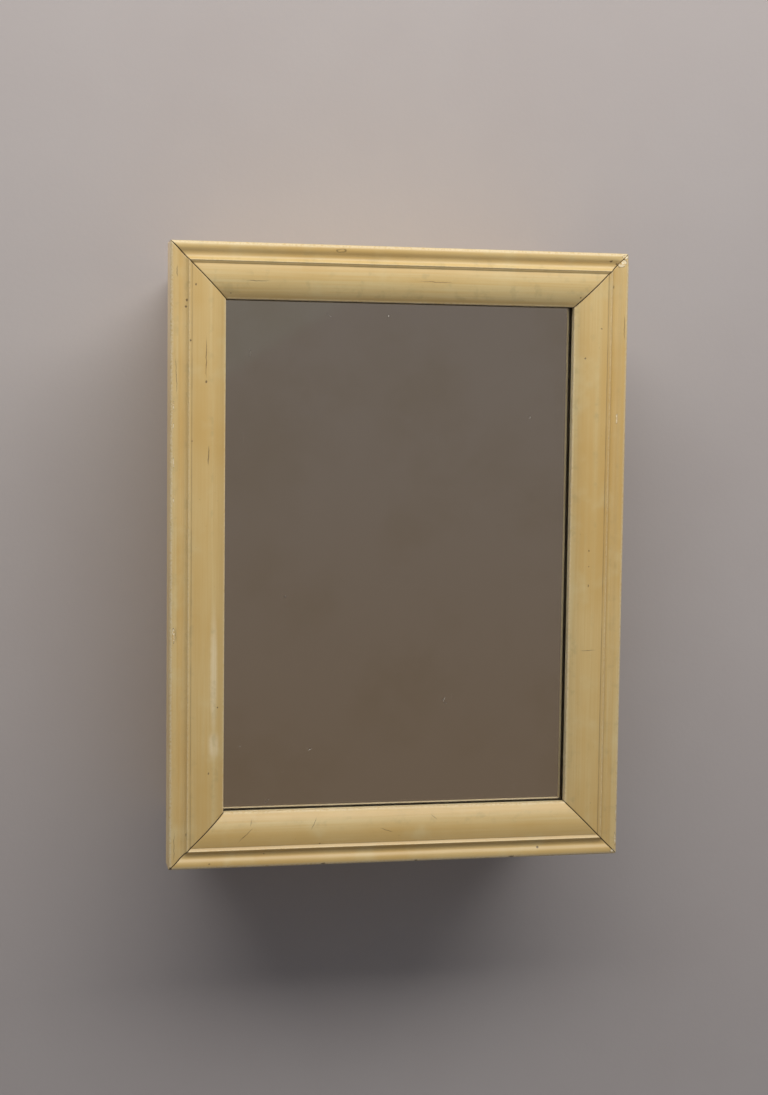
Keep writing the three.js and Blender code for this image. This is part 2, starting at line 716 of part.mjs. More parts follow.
// Everything here stands in the cabinet's own frame.
function buildCarcass() {
  const carcass = new THREE.Group();
  const left = side("carcass_side_left", -1);
  const right = side("carcass_side_right", 1);
  cut(
    right,
    catchScrewPlaces.map(([, place]) => screwRoom(CATCH_SCREW, place, HEAD_TO_LEFT)),
  );

  for (const [where, up] of HINGES) {
    const z = up * HINGE_Z;
    cut(
      left,
      block(
        [HINGE_X, HINGE_X + LEAF_WIDTH + GAP],
        [-CARCASS_DEPTH - MARGIN, HINGE_Y + LEAF_OFFSET + LEAF_THICKNESS + GAP],
        [z - HINGE_LENGTH / 2 - GAP, z + HINGE_LENGTH / 2 + GAP],
      ),
      hingeScrewPlaces(1).map(([, [sx, sy, sz]]) =>
        screwRoom(SMALL_SCREW, [HINGE_X + sx, HINGE_Y + sy, z + sz], HEAD_TO_FRONT),
      ),
    );
    const hinge = new THREE.Group();
    hinge.position.set(HINGE_X, HINGE_Y, z);
    hinge.add(
      hingeLeaf(`hinge_${where}_carcass_leaf`, 1, [0, 2, 4]),
      hingePin(`hinge_${where}_pin`),
      ...hingeScrewPlaces(1).map(([number, place]) =>
        screw(`hinge_${where}_carcass_screw_${number}`, SMALL_SCREW, BRASS, place, HEAD_TO_FRONT),
      ),
    );
    carcass.add(hinge);
  }

  carcass.add(
    left,
    right,
    ...CASE_ENDS.map(([name, up]) => caseEnd("carcass_" + name, up)),
    backPanel(),
    ...shelfZ.map(([name, z]) => shelf("shelf_" + name, z)),
    hangingRail(),
    ...allNails().map(([name, place, rotation]) => nail(name, place, rotation)),
    ...WALL_SCREWS.map(([name, x]) => screwCup("screw_cup_" + name, x)),
    catchCase(),
    ...catchInnards(),
    ...catchScrewPlaces.map(([where, place]) =>
      screw("catch_screw_" + where, CATCH_SCREW, STEEL, place, HEAD_TO_LEFT),
    ),
  );
  return carcass;
}

const cabinet = new THREE.Group();
cabinet.add(buildCarcass(), buildDoor());

export default cabinet;
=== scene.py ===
import json
import math

import bmesh
import bpy
from mathutils import Matrix, Vector
from mathutils.noise import noise


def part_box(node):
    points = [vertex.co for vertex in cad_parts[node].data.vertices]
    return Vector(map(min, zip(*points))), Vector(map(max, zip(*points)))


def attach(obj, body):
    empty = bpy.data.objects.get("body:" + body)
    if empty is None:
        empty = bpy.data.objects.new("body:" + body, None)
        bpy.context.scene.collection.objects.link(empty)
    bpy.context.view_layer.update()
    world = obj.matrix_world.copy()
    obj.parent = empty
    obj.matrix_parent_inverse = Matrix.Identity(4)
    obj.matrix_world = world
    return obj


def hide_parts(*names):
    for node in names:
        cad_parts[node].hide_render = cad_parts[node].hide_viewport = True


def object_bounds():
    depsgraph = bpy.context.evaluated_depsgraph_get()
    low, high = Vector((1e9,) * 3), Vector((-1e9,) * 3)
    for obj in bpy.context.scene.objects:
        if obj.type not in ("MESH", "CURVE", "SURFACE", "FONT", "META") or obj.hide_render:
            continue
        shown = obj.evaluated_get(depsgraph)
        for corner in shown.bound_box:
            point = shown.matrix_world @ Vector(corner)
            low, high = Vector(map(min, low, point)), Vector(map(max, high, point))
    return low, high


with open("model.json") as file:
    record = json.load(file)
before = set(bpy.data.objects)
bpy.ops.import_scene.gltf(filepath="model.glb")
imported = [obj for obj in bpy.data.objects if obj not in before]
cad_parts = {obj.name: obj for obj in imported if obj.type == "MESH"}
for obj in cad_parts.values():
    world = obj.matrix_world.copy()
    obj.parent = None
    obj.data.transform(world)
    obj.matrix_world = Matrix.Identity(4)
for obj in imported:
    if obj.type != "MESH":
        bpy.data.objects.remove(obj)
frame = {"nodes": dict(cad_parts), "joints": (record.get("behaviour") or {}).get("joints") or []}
cad_low, cad_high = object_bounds()

# Metres, in the cabinet's own frame: +X right, +Y into the wall, +Z up, origin on the wall.
MM = 0.001
HAIR_GAP = 0.2 * MM  # half of the gap left at a mitre
SLIVER = 0.002 * MM  # edges shorter than this are welded after a cut
MARKED_DEPTH = 18 * MM  # marks on the door's face fade out this far behind it
KEY_POWER, BACK_POWER = 27.0, 45.0  # watts, of the lamps in front and behind
KEY_COLOUR, BACK_COLOUR = (1.0, 0.985, 0.965), (1.0, 0.97, 0.93)
FLOOR_Z = -1.6

moved_by = Matrix.Translation

# ---- places taken from the frame

top_low, top_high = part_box("door_rail_top")
HALF_W, HALF_H = cad_high.x, cad_high.z
MOULDING = top_high.z - top_low.z  # outer edge to sight edge
DOOR_BACK = top_high.y
CROWN = top_high.y - top_low.y  # back of the door to the highest line of the moulding
FRONT = cad_low.y

# ---- colours


def rgb(red, green, blue):
    """A display colour, 0 to 255 a channel, as the linear colour a shader takes."""

    def linear(channel):
        c = channel / 255
        return c / 12.92 if c <= 0.04045 else ((c + 0.055) / 1.055) ** 2.4

    return (linear(red), linear(green), linear(blue), 1.0)


CREAM = rgb(204, 176, 119)
CREAM_DEEP = rgb(196, 162, 98)
CREAM_FADED = rgb(207, 188, 138)
UNDERCOAT = rgb(228, 213, 178)
# Dirt on bare wood, and grime with painted shade in the moulding's hollows.
GRIME_AND_SHADE = rgb(66, 50, 30)
SMEAR = rgb(158, 142, 98)
DARK_WOOD = rgb(64, 46, 28)
INSIDE_CREAM = rgb(214, 196, 152)
INSIDE_DEEP = rgb(204, 180, 130)
INSIDE_FADED = rgb(222, 208, 172)
BEAD = rgb(204, 166, 116)
BEAD_DARK = rgb(168, 124, 78)
WALL = rgb(172, 165, 162)
WALL_SHADE = rgb(168, 160, 157)
FLOOR = rgb(203, 202, 201)
FLOOR_SHADE = rgb(196, 195, 194)
ROOM_GLOW = rgb(114, 118, 127)
BACKDROP = rgb(196, 191, 186)
ROOM_LOW = rgb(111, 96, 81)
ROOM_HIGH = rgb(117, 108, 101)
ROOM_PALE = rgb(119, 112, 104)
SILVER = rgb(239, 238, 235)
SILVER_TARNISHED = rgb(232, 229, 221)
SILVER_SPOT = rgb(60, 52, 42)
SILVER_BARE = rgb(176, 166, 148)

# ---- node helpers


class Sheet:
    """Short ways to add and wire the nodes of one material or one group."""

    def __init__(self, tree):
        self.tree = tree

    def add(self, kind, **settings):
        node = self.tree.nodes.new(kind)
        for key, value in settings.items():
            setattr(node, key, value)
        return node

    def feed(self, socket, value):
        """Sets a socket's value, or wires an output into it."""
        if isinstance(value, bpy.types.NodeSocket):
            self.tree.links.new(value, socket)
        else:
            socket.default_value = value

    def fill(self, sockets, **values):
        """Feeds several sockets by name, with an underscore for each space."""
        for key, value in values.items():
            self.feed(sockets[key.replace("_", " ")], value)

    def op(self, kind, *values, output=0, **settings):
        """Adds a node, feeds its first inputs in order, and gives one of its outputs."""
        node = self.add(kind, **settings)
        for socket, value in zip(node.inputs, values):
            self.feed(socket, value)
        return node.outputs[output]

    def math(self, operation, a, b=0.0):
        return self.op("ShaderNodeMath", a, b, operation=operation)

    def times(self, a, b):
        return self.math("MULTIPLY", a, b)

    def plus(self, a, b):
        return self.math("ADD", a, b)

    def minus(self, a, b):
        return self.math("SUBTRACT", a, b)

    def over(self, *values):
        """The largest of several masks."""
        result = values[0]
        for value in values[1:]:
            result = self.math("MAXIMUM", result, value)
        return result

    def ramp(self, value, low, high, out_low=0.0, out_high=1.0):
        """Value mapped smoothly from low..high to out_low..out_high."""
        given = (value, low, high, out_low, out_high)
        return self.op("ShaderNodeMapRange", *given, interpolation_type="SMOOTHSTEP")

    def mix(self, factor, a, b):
        node = self.add("ShaderNodeMix", data_type="RGBA")
        self.feed(node.inputs[0], factor)
        self.feed(node.inputs[6], a)
        self.feed(node.inputs[7], b)
        return node.outputs[2]

    def place(self):
        """The piece's own coordinates, in metres."""
        return self.add("ShaderNodeTexCoord").outputs["Object"]

    def painted(self, name):
        """A value stored on the mesh's vertices by its maker."""
        return self.add("ShaderNodeAttribute", attribute_name=name).outputs["Fac"]

    def vector(self, operation, a, b):
        return self.op("ShaderNodeVectorMath", a, b, operation=operation)

    def stretch(self, vector, scale, offset=(0.0, 0.0, 0.0)):
        node = self.add("ShaderNodeMapping")
        self.fill(node.inputs, Vector=vector, Scale=scale, Location=offset)
        return node.outputs[0]

    def noise(self, vector, scale, detail=3.0, rough=0.5, output=0):
        node = self.add("ShaderNodeTexNoise")
        self.fill(node.inputs, Vector=vector, Scale=scale, Detail=detail, Roughness=rough)
        return node.outputs[output]

    def group(self, tree, **values):
        node = self.add("ShaderNodeGroup", node_tree=tree)
        self.fill(node.inputs, **values)
        return node.outputs

    def bump(self, height, distance, strength):
        node = self.add("ShaderNodeBump")
        self.fill(node.inputs, Height=height, Distance=distance, Strength=strength)
        return node.outputs[0]


def new_group(name, inputs, outputs):
    """An empty shader group. Its sockets are given as a kind of value and the names that have it."""
    tree = bpy.data.node_groups.new(name, "ShaderNodeTree")
    for direction, sockets in (("INPUT", inputs), ("OUTPUT", outputs)):
        for kind, labels in sockets.items():
            for label in labels.split(", "):
                tree.interface.new_socket(label, in_out=direction, socket_type="NodeSocket" + kind)
    sheet = Sheet(tree)
    return tree, sheet, sheet.add("NodeGroupInput").outputs, sheet.add("NodeGroupOutput").inputs


def new_material(name, **values):
    """A material with one Principled shader, whose plain values are given by socket name."""
    material = bpy.data.materials.new(name)
    material.use_nodes = True
    tree = material.node_tree
    tree.nodes.clear()
    sheet = Sheet(tree)
    shader = sheet.add("ShaderNodeBsdfPrincipled")
    sheet.fill(sheet.add("ShaderNodeOutputMaterial").inputs, Surface=shader.outputs["BSDF"])
    sheet.fill(shader.inputs, **values)
    return material, sheet, shader.inputs


# ---- shared finishes


def build_flecks():
    """Scattered specks: a mask that is 1 inside each and 0 around it."""
    inputs = {"Vector": "Vector", "Float": "Density, Size"}
    tree, s, given, made = new_group("flecks", inputs, {"Float": "Mask"})
    texture = s.add("ShaderNodeTexVoronoi")
    s.fill(texture.inputs, Vector=given["Vector"], Scale=given["Density"], Randomness=1.0)
    chance = s.op("ShaderNodeSeparateColor", texture.outputs["Color"])
    size = s.times(given["Size"], s.ramp(chance, 0.55, 1.0))
    inside = s.minus(size, texture.outputs["Distance"])
    s.fill(made, Mask=s.ramp(inside, -0.01, 0.02))
    return tree


def build_old_paint(flecks_group):
    """Brushed oil paint that has yellowed: cloudy colour, brush streaks, grime and painted shade in the
    hollows, flecks, faded places, painted highlights on the arrises, and chips down to the undercoat and
    the wood."""
    tree, s, given, made = new_group(
        "old paint",
        {
            "Vector": "Along, Place",
            "Color": "Paint, Paint Deep, Paint Faded",
            "Float": "Hollow, Arris, Chip, Pale, Scratch",
        },
        {"Color": "Color", "Float": "Roughness, Height"},
    )
    place = given["Place"]
    streak = s.noise(given["Along"], 1.0, 4.0, 0.6)
    drift = s.noise(given["Along"], 0.12, 3.0, 0.55)
    cloud = s.noise(place, 9.0, 4.0, 0.6)
    blotch = s.noise(place, 38.0, 3.0, 0.55)
    fine = s.noise(place, 900.0, 3.0, 0.6)
    ragged = s.noise(place, 700.0, 4.0, 0.65)

    colour = s.mix(s.ramp(cloud, 0.35, 0.68), given["Paint"], given["Paint Deep"])
    colour = s.mix(s.ramp(drift, 0.42, 0.7, 0.0, 0.6), colour, given["Paint Faded"])
    colour = s.mix(s.ramp(streak, 0.35, 0.75, 0.0, 0.6), colour, given["Paint Deep"])
    colour = s.mix(s.ramp(blotch, 0.52, 0.75, 0.0, 0.5), colour, given["Paint Faded"])
    pale = s.times(given["Pale"], s.ramp(streak, 0.3, 0.6, 0.45, 1.0))
    colour = s.mix(s.times(pale, 0.55), colour, UNDERCOAT)

    # Faint greenish smears left by damp hands and wiping.
    dabs = s.ramp(s.noise(place, 120.0, 4.0, 0.6), 0.5, 0.7)
    smear = s.times(s.ramp(drift, 0.45, 0.6), dabs)
    colour = s.mix(s.times(smear, 0.3), colour, SMEAR)

    # Grime gathers in hollows, unevenly; the hollows, the rebate and the mitres also carry painted shade.
    grime_and_shade = s.times(given["Hollow"], s.ramp(blotch, 0.25, 0.6, 0.5, 1.0))
    colour = s.mix(s.times(grime_and_shade, 0.85), colour, GRIME_AND_SHADE)

    # Rubbed arrises: the paint is thinner and lighter, and gone in places. The lighter paint is also a
    # painted highlight, above all at the sight edge.
    rubbed_and_highlit = s.times(given["Arris"], s.ramp(ragged, 0.3, 0.58))
    colour = s.mix(s.times(rubbed_and_highlit, 0.6), colour, UNDERCOAT)
    gnawed = s.times(given["Arris"], s.noise(given["Along"], 0.35, 5.0, 0.72))
    nicks = s.ramp(gnawed, 0.61, 0.66)

    flecks = s.group(flecks_group, Vector=place, Density=52.0, Size=0.05)["Mask"]
    colour = s.mix(s.times(flecks, 0.8), colour, DARK_WOOD)
    colour = s.mix(s.times(given["Scratch"], 0.75), colour, DARK_WOOD)

    # A chip shows pale undercoat with a dark broken rim.
    torn = s.plus(given["Chip"], s.times(s.minus(ragged, 0.5), 1.1))
    bare = s.over(s.ramp(torn, 0.3, 0.36), nicks)
    rim = s.minus(s.ramp(torn, 0.22, 0.3), s.ramp(torn, 0.36, 0.5))
    colour = s.mix(bare, colour, s.mix(s.ramp(ragged, 0.46, 0.6), UNDERCOAT, given["Paint Deep"]))
    colour = s.mix(s.times(s.over(rim, s.times(nicks, 0.5)), 0.8), colour, DARK_WOOD)

    rough = s.ramp(drift, 0.3, 0.7, 0.38, 0.5)
    rough = s.plus(rough, s.times(s.over(bare, grime_and_shade, pale), 0.25))

    height = s.times(streak, 0.5)
    height = s.plus(height, s.times(blotch, 0.9))
    height = s.plus(height, s.times(fine, 0.06))
    height = s.minus(height, s.times(s.over(bare, given["Scratch"]), 1.6))
    s.fill(made, Color=colour, Roughness=rough, Height=height)
    return tree


def build_stroke():
    """An oval or a short line on the door's face: 1 at its middle, 0 at its rim and below 0 outside."""
    inputs = {"Vector": "Place, Middle, Reach", "Float": "Turn"}
    tree, s, given, made = new_group("stroke", inputs, {"Float": "Inside"})
    turned = s.add("ShaderNodeVectorRotate", rotation_type="Y_AXIS")
    offset = s.vector("SUBTRACT", given["Place"], given["Middle"])
    s.fill(turned.inputs, Vector=offset, Angle=given["Turn"])
    share = s.vector("DIVIDE", turned.outputs[0], given["Reach"])
    far = s.op("ShaderNodeVectorMath", share, output="Value", operation="LENGTH")
    s.fill(made, Inside=s.minus(1.0, far))
    return tree


# Marks on the door's face, by kind: each one's middle in x and z, half its length, half its width, all
# in mm, and how far it leans from level, in degrees, rising to the right.
DOOR_MARKS = {
    "ring": [(-42, 196.2, 3.4, 1.1, -2)],
    "chip": [
        (145.4, 193.4, 4.2, 2.6, 40), (147.6, 197.6, 2.4, 1.5, 0), (-147.8, 97, 3.4, 0.45, 90),
        (-147.9, 84, 2.2, 0.4, 90), (-147.8, 61, 4.2, 0.45, 90), (-147.9, 37, 2, 0.4, 90),
        (-147.4, -48.5, 6.5, 1, 91), (148.9, -172, 7, 0.7, 90), (148.6, -190, 6, 1, 90),
        (146.8, -197.6, 2, 1.3, 20), (143.6, 92, 4.5, 0.7, 88),
    ],
    "dent": [
        (141.4, 193, 1, 0.8, 0), (137.5, 194.5, 1.3, 0.6, 20), (117.5, 170.6, 0.7, 0.6, 0),
        (-112, 168, 0.6, 0.5, 0), (-139.9, 163, 1.2, 0.8, 90), (-140.2, 158.6, 1, 0.7, 90),
        (-134.2, 172.6, 1, 0.6, 90), (-127.4, 112, 1.1, 0.7, 90), (-88.6, -191.6, 0.6, 0.5, 0),
        (-124, -196.8, 0.9, 0.5, 0), (-52, -185.6, 0.7, 0.5, 30), (-50, -199, 2, 0.8, 0),
        (12, -199.2, 1.4, 0.6, 0), (77, -199, 2.4, 0.6, 0), (-148.6, -198.8, 1.3, 1.2, 0),
        (121.4, 131.1, 0.9, 0.7, 60), (131.5, 150.6, 0.9, 0.5, -30), (140, 178, 1.4, 0.5, 90),
        (126.3, 4.5, 0.8, 0.5, 90), (126.4, -6, 0.6, 0.4, 90), (126.2, -18.6, 1.1, 0.5, 90),
    ],
    "scratch": [
        (-95, 176, 9, 0.3, 1), (20, 178, 14, 0.25, -1), (-146.2, 115.5, 14, 0.28, 91),
        (-145.8, 181, 4.5, 0.3, 88), (-145.9, -48, 6, 0.25, 91), (-146.6, -185, 12, 0.28, 90),
        (-127.4, 127, 15, 0.35, 90), (-125.6, 65.5, 7, 0.5, 88), (-124.8, -138, 1, 0.6, 90),
        (-138.8, -177, 1.6, 0.3, 90), (-100.6, -178.7, 8.2, 0.3, 44), (-56, -172.9, 5.2, 0.28, 63),
        (-97, -171, 2.6, 0.25, 80), (24, -171, 3.4, 0.25, -38), (-8, -178.4, 5, 0.25, -20),
        (147.4, 151.5, 10, 0.3, 90), (127, -62, 6, 0.25, 4),
    ],
    "pale": [(-121.6, -72, 46, 3, 90), (-121.4, -120, 11, 4.4, 90)],
}

# How each kind of mark shows: the output it feeds, and how that rises from its rim to its middle.
MARK_LOOKS = {
    "ring": ("Scratch", 0.05, 0.3, 0.75, 0.0),
    "chip": ("Chip", 0.0, 0.7),
    "dent": ("Scratch", 0.0, 0.5, 0.0, 0.95),
    "scratch": ("Scratch", 0.0, 0.5, 0.0, 0.8),
    "pale": ("Pale", -0.1, 0.7),
}
PAST_MITRE = 1.5  # mm that a mark may lie past the mitre and still be shown


def marks_on(level):
    """The marks that touch the rails, or the stiles: each reaches the mitre or lies on its own side."""
    chosen = []
    for kind, marks in DOOR_MARKS.items():
        for x, z, length, width, lean in marks:
            from_side, from_end = HALF_W / MM - abs(x), HALF_H / MM - abs(z)
            nearer = from_side - from_end if level else from_end - from_side
            if nearer > -length - PAST_MITRE:
                chosen.append((kind, x, z, length, width, lean))
    return chosen


def stroke_inside(s, stroke, place, y, depth, x, z, length, width, lean):
    """How far inside a mark the place is. The mark's own measures are in mm and degrees."""
    middle, reach = (x * MM, y, z * MM), (length * MM, depth, width * MM)
    return s.group(stroke, Place=place, Middle=middle, Turn=math.radians(lean), Reach=reach)["Inside"]


def build_door_wear(stroke, name, marks):
    """The marks on the door's rails or stiles, gathered by what they lay bare."""
    tree, s, given, made = new_group(name, {"Vector": "Place"}, {"Float": "Chip, Pale, Scratch"})
    drift = s.vector("SUBTRACT", s.noise(given["Place"], 260.0, output="Color"), (0.5, 0.5, 0.5))
    place = s.vector("ADD", given["Place"], s.vector("MULTIPLY", drift, (1.6 * MM, 0.0, 1.6 * MM)))
    masks = {"Chip": 0.0, "Pale": 0.0, "Scratch": 0.0}
    for kind, *measures in marks:
        inside = stroke_inside(s, stroke, place, FRONT, MARKED_DEPTH, *measures)
        if kind == "ring":
            inside = s.math("ABSOLUTE", s.minus(inside, 0.15))  # how far from the ring's own line
        output, *rise = MARK_LOOKS[kind]
        masks[output] = s.over(masks[output], s.ramp(inside, *rise))
    s.fill(made, **masks)
    return tree


def build_grain():
    """Bare wood: long pores and growth lines along one direction."""
    inputs = {"Vector": "Along, Place", "Color": "Light, Dark"}
    outputs = {"Color": "Color", "Float": "Roughness, Height"}
    tree, s, given, made = new_group("wood grain", inputs, outputs)
    pores = s.noise(given["Along"], 1.0, 4.0, 0.65)
    growth = s.noise(given["Along"], 0.12, 2.0, 0.5)
    rings = s.ramp(s.math("SINE", s.times(growth, 55.0)), -0.4, 1.0)
    colour = s.mix(s.times(rings, 0.55), given["Light"], given["Dark"])
    colour = s.mix(s.ramp(pores, 0.5, 0.72, 0.0, 0.6), colour, given["Dark"])
    handled = s.noise(given["Place"], 25.0, 3.0, 0.6)
    colour = s.mix(s.ramp(handled, 0.5, 0.75, 0.0, 0.25), colour, GRIME_AND_SHADE)
    rough = s.ramp(pores, 0.3, 0.7, 0.6, 0.82)
    s.fill(made, Color=colour, Roughness=rough, Height=s.plus(pores, s.times(rings, 0.3)))
    return tree


def build_tarnish(flecks_group):
    """Old metal: dull patches, dark spots and fine scratches."""
    inputs = {"Vector": "Place", "Color": "Metal, Dull, Spot", "Float": "Amount"}
    outputs = {"Color": "Color", "Float": "Roughness, Metallic, Height"}
    tree, s, given, made = new_group("tarnish", inputs, outputs)
    patches = s.noise(given["Place"], 170.0, 4.0, 0.62)
    hairs = s.noise(s.stretch(given["Place"], (5000.0, 5000.0, 180.0)), 1.0, 2.0, 0.5)
    spots = s.group(flecks_group, Vector=given["Place"], Density=700.0, Size=0.25)["Mask"]
    spots = s.times(spots, given["Amount"])
    dulled = s.times(s.ramp(patches, 0.35, 0.7), given["Amount"])
    colour = s.mix(dulled, given["Metal"], given["Dull"])
    rough = s.plus(s.ramp(hairs, 0.3, 0.7, 0.24, 0.36), s.times(dulled, 0.25))
    s.fill(
        made,
        Color=s.mix(s.times(spots, 0.8), colour, given["Spot"]),
        Metallic=s.minus(1.0, s.times(spots, 0.6)),
        Roughness=s.plus(rough, s.times(spots, 0.3)),
        Height=s.plus(hairs, s.times(patches, 0.8)),
    )
    return tree


# ---- materials

BRUSH = (14.0, 900.0)  # how many streaks a metre a brush leaves, along and across its way
FIBRE = (22.0, 1400.0)  # the same for the fibres of bare wood


def lengthways(s, place, along, counts):
    """The place squeezed so that a texture on it is drawn out along x or z."""
    return s.stretch(place, [counts[0] if axis == along else counts[1] for axis in "xyz"])


def lay_on(s, shader, finish, depth, strength):
    """Wires a finish group into a Principled shader, with its height as a bump."""
    bump = s.bump(finish["Height"], depth, strength)
    s.fill(shader, Base_Color=finish["Color"], Roughness=finish["Roughness"], Normal=bump)


def painted_wood(name, paint_group, along, colours, wear_group=None):
    """Old paint whose brush streaks run along x or z."""
    material, s, shader = new_material(name, IOR=1.5, Coat_Weight=0.1, Coat_Roughness=0.32)
    place = s.place()
    worn = {}
    if wear_group:
        wear = s.group(wear_group, Place=place)
        worn = {mask: wear[mask] for mask in ("Chip", "Pale", "Scratch")}
    paint, deep, faded = colours
    out = s.group(
        paint_group,
        Along=lengthways(s, place, along, BRUSH),
        Place=place,
        Paint=paint,
        Paint_Deep=deep,
        Paint_Faded=faded,
        Hollow=s.painted("hollow"),
        Arris=s.painted("arris"),
        **worn,
    )
    lay_on(s, shader, out, 0.06 * MM, 0.6)
    return material


def bare_wood(name, grain_group, along, light, dark):
    """Wood without paint, whose grain runs along x or z."""
    material, s, shader = new_material(name, IOR=1.45)
    place = s.place()
    drawn = lengthways(s, place, along, FIBRE)
    out = s.group(grain_group, Along=drawn, Place=place, Light=light, Dark=dark)
    lay_on(s, shader, out, 0.08 * MM, 0.5)
    return material


def old_metal(name, tarnish_group, metal, dull, spot, amount):
    material, s, shader = new_material(name)
    out = s.group(tarnish_group, Place=s.place(), Metal=metal, Dull=dull, Spot=spot, Amount=amount)
    lay_on(s, shader, out, 0.01 * MM, 0.4)
    s.fill(shader, Metallic=out["Metallic"])
    return material


def speckled(name, flecks_group, colours, density, roughness):
    """A dull body with a fine mottle and specks: moulded plastic, pressed fibre or sintered iron."""
    material, s, shader = new_material(name, IOR=1.48)
    place = s.place()
    base, deep, speck = colours
    mottle = s.noise(place, density * 0.25, 4.0, 0.6)
    fibres = s.noise(place, density * 3.0, 4.0, 0.7)
    specks = s.group(flecks_group, Vector=place, Density=density, Size=0.28)["Mask"]
    colour = s.mix(s.ramp(mottle, 0.35, 0.7), base, deep)
    colour = s.mix(s.ramp(fibres, 0.5, 0.75, 0.0, 0.5), colour, deep)
    s.fill(
        shader,
        Base_Color=s.mix(s.times(specks, 0.6), colour, speck),
        Roughness=s.ramp(fibres, 0.3, 0.7, roughness - 0.08, roughness + 0.08),
        Normal=s.bump(fibres, 0.03 * MM, 0.4),
    )
    return material


# ---- the door's moulding

FACE_FROM = 12.1  # mm forward of the door's back: the moulding's face and its outer side lie beyond this
TIP_REACH = 9.0  # mm from the top right corner, where it was knocked


def bezier(a, b, c, d, steps):
    """Points on a cubic curve, without its first."""
    points = []
    for i in range(1, steps + 1):
        t = i / steps
        w = ((1 - t) ** 3, 3 * t * (1 - t) ** 2, 3 * t * t * (1 - t), t**3)
        points.append(tuple(sum(k * p[axis] for k, p in zip(w, (a, b, c, d))) for axis in (0, 1)))
    return points


def line(a, b, steps):
    """Evenly spaced points on a straight line, without its first."""
    shares = [i / steps for i in range(1, steps + 1)]
    return [(a[0] + (b[0] - a[0]) * t, a[1] + (b[1] - a[1]) * t) for t in shares]


def arc_from_crown(crown, foot, steps):
    """Points on a circle that is level at its crown, from the crown down to a foot at one side."""
    across, down = foot[0] - crown[0], crown[1] - foot[1]
    radius = (across**2 + down**2) / (2 * down)
    sweep = math.asin(across / radius)
    angles = [sweep * i / steps for i in range(steps + 1)]
    return [(crown[0] + radius * math.sin(a), crown[1] - radius * (1 - math.cos(a))) for a in angles]


def moulding_section():
    """The moulding's section in mm: the distance in from the outer edge and forward from the back.
    It starts at the back's outer corner, goes over the front and comes back by the rebate. Beside
    each point stand its hollow (where grime and painted shade darken the paint) and its arris (where paint
    rubs off and a painted highlight lies)."""
    top = CROWN / MM
    width = MOULDING / MM
    lip, rebate, sight = 5.5, 11.6, top - 6.1
    side, arris = top - 3.0, 0.8
    crest, flank, climb = (2.9, top - 0.7), (6.5, top - 2.05), (9.6, top - 2.2)
    ridge, after, foot = (11.4, top - 0.45), (12.3, top - 0.4), (13.7, top - 1.25)
    crown = (20.4, top - 0.5)

    points = [(0.0, 0.0), *line((0, 0), (0, side), 8)]
    points += bezier((0, side), (0, top - 1.6), (1.1, top - 0.7), crest, 9)
    points += bezier(crest, (4.6, top - 0.7), (5.4, top - 1.45), flank, 7)
    points += bezier(flank, (7.3, top - 2.5), (8.5, top - 2.65), climb, 7)
    points += bezier(climb, (10.3, top - 1.9), (10.9, top - 1.1), ridge, 6)
    nose = (11.8, top + 0.1)
    points += bezier(ridge, nose, nose, after, 5)
    near_foot = (foot[0] - 0.25, foot[1] + 0.22)
    points += line(after, near_foot, 4)
    points += bezier(near_foot, foot, foot, (foot[0] + 0.3, foot[1] + 0.1), 3)
    points += arc_from_crown(crown, foot, 12)[-2::-1]
    end = (width - arris, sight + arris / 2)
    points += arc_from_crown(crown, end, 20)[1:]
    points += bezier(end, (width - 0.25, sight + 0.2), (width, sight - 0.1), (width, sight - arris), 6)
    points += line((width, sight - arris), (width, rebate), 5)
    points += line((width, rebate), (width - lip, rebate), 3)
    points += line((width - lip, rebate), (width - lip, 0), 5)
    points += line((width - lip, 0), (0, 0), 10)[:-1]

    def near(x, middle, spread):
        return math.exp(-(((x - middle) / spread) ** 2))

    section = []
    for x, y in points:
        front = y > FACE_FROM
        hollow = front * max(0.5 * near(x, foot[0], 0.35), 0.1 * near(x, 8.2, 1.2))
        if x > width - lip - 0.1 and y < rebate + 0.1:
            hollow = 2.0  # bare wood and painted shade: dark inside the rebate
        # The sight edge's arris is paler: rubbed paint and a painted highlight.
        outer, inner = near(x, 0.8, 0.9) * (y > side), 0.85 * near(x, width, 0.9)
        rubbed_and_highlit = front * max(outer, 0.5 * near(x, 11.9, 0.6), inner)
        section.append((x, y, hollow, rubbed_and_highlit))
    return section


def broken_tip(member, seen, x):
    """How far the moulding is broken back, in mm, at its knocked top right corner."""
    if member not in ("top", "right"):
        return 0.0
    half_length = (HALF_W if member == "top" else HALF_H) / MM
    to_tip = math.hypot(half_length - abs(seen), x)
    if seen < 0 or to_tip > TIP_REACH:
        return 0.0
    facet = 0.5 + 0.5 * noise(Vector((seen * 0.45, x * 0.45, 7.0)))
    return (1 - to_tip / TIP_REACH) * (0.5 + 1.4 * facet)


def stations():
    """Places along a member as (fraction of its length, distance back from the nearer end), in mm."""
    from_end = [0.0, 0.15, 0.35, 0.8, 1.6, 2.6, 3.8, 5.2, 7.0, 9.0]
    spacing = 4.0
    count = round(2 * HALF_H / MM / spacing)
    middle = [(i / count, None) for i in range(1, count)]
    return [(0.0, d) for d in from_end] + middle + [(1.0, d) for d in reversed(from_end)]


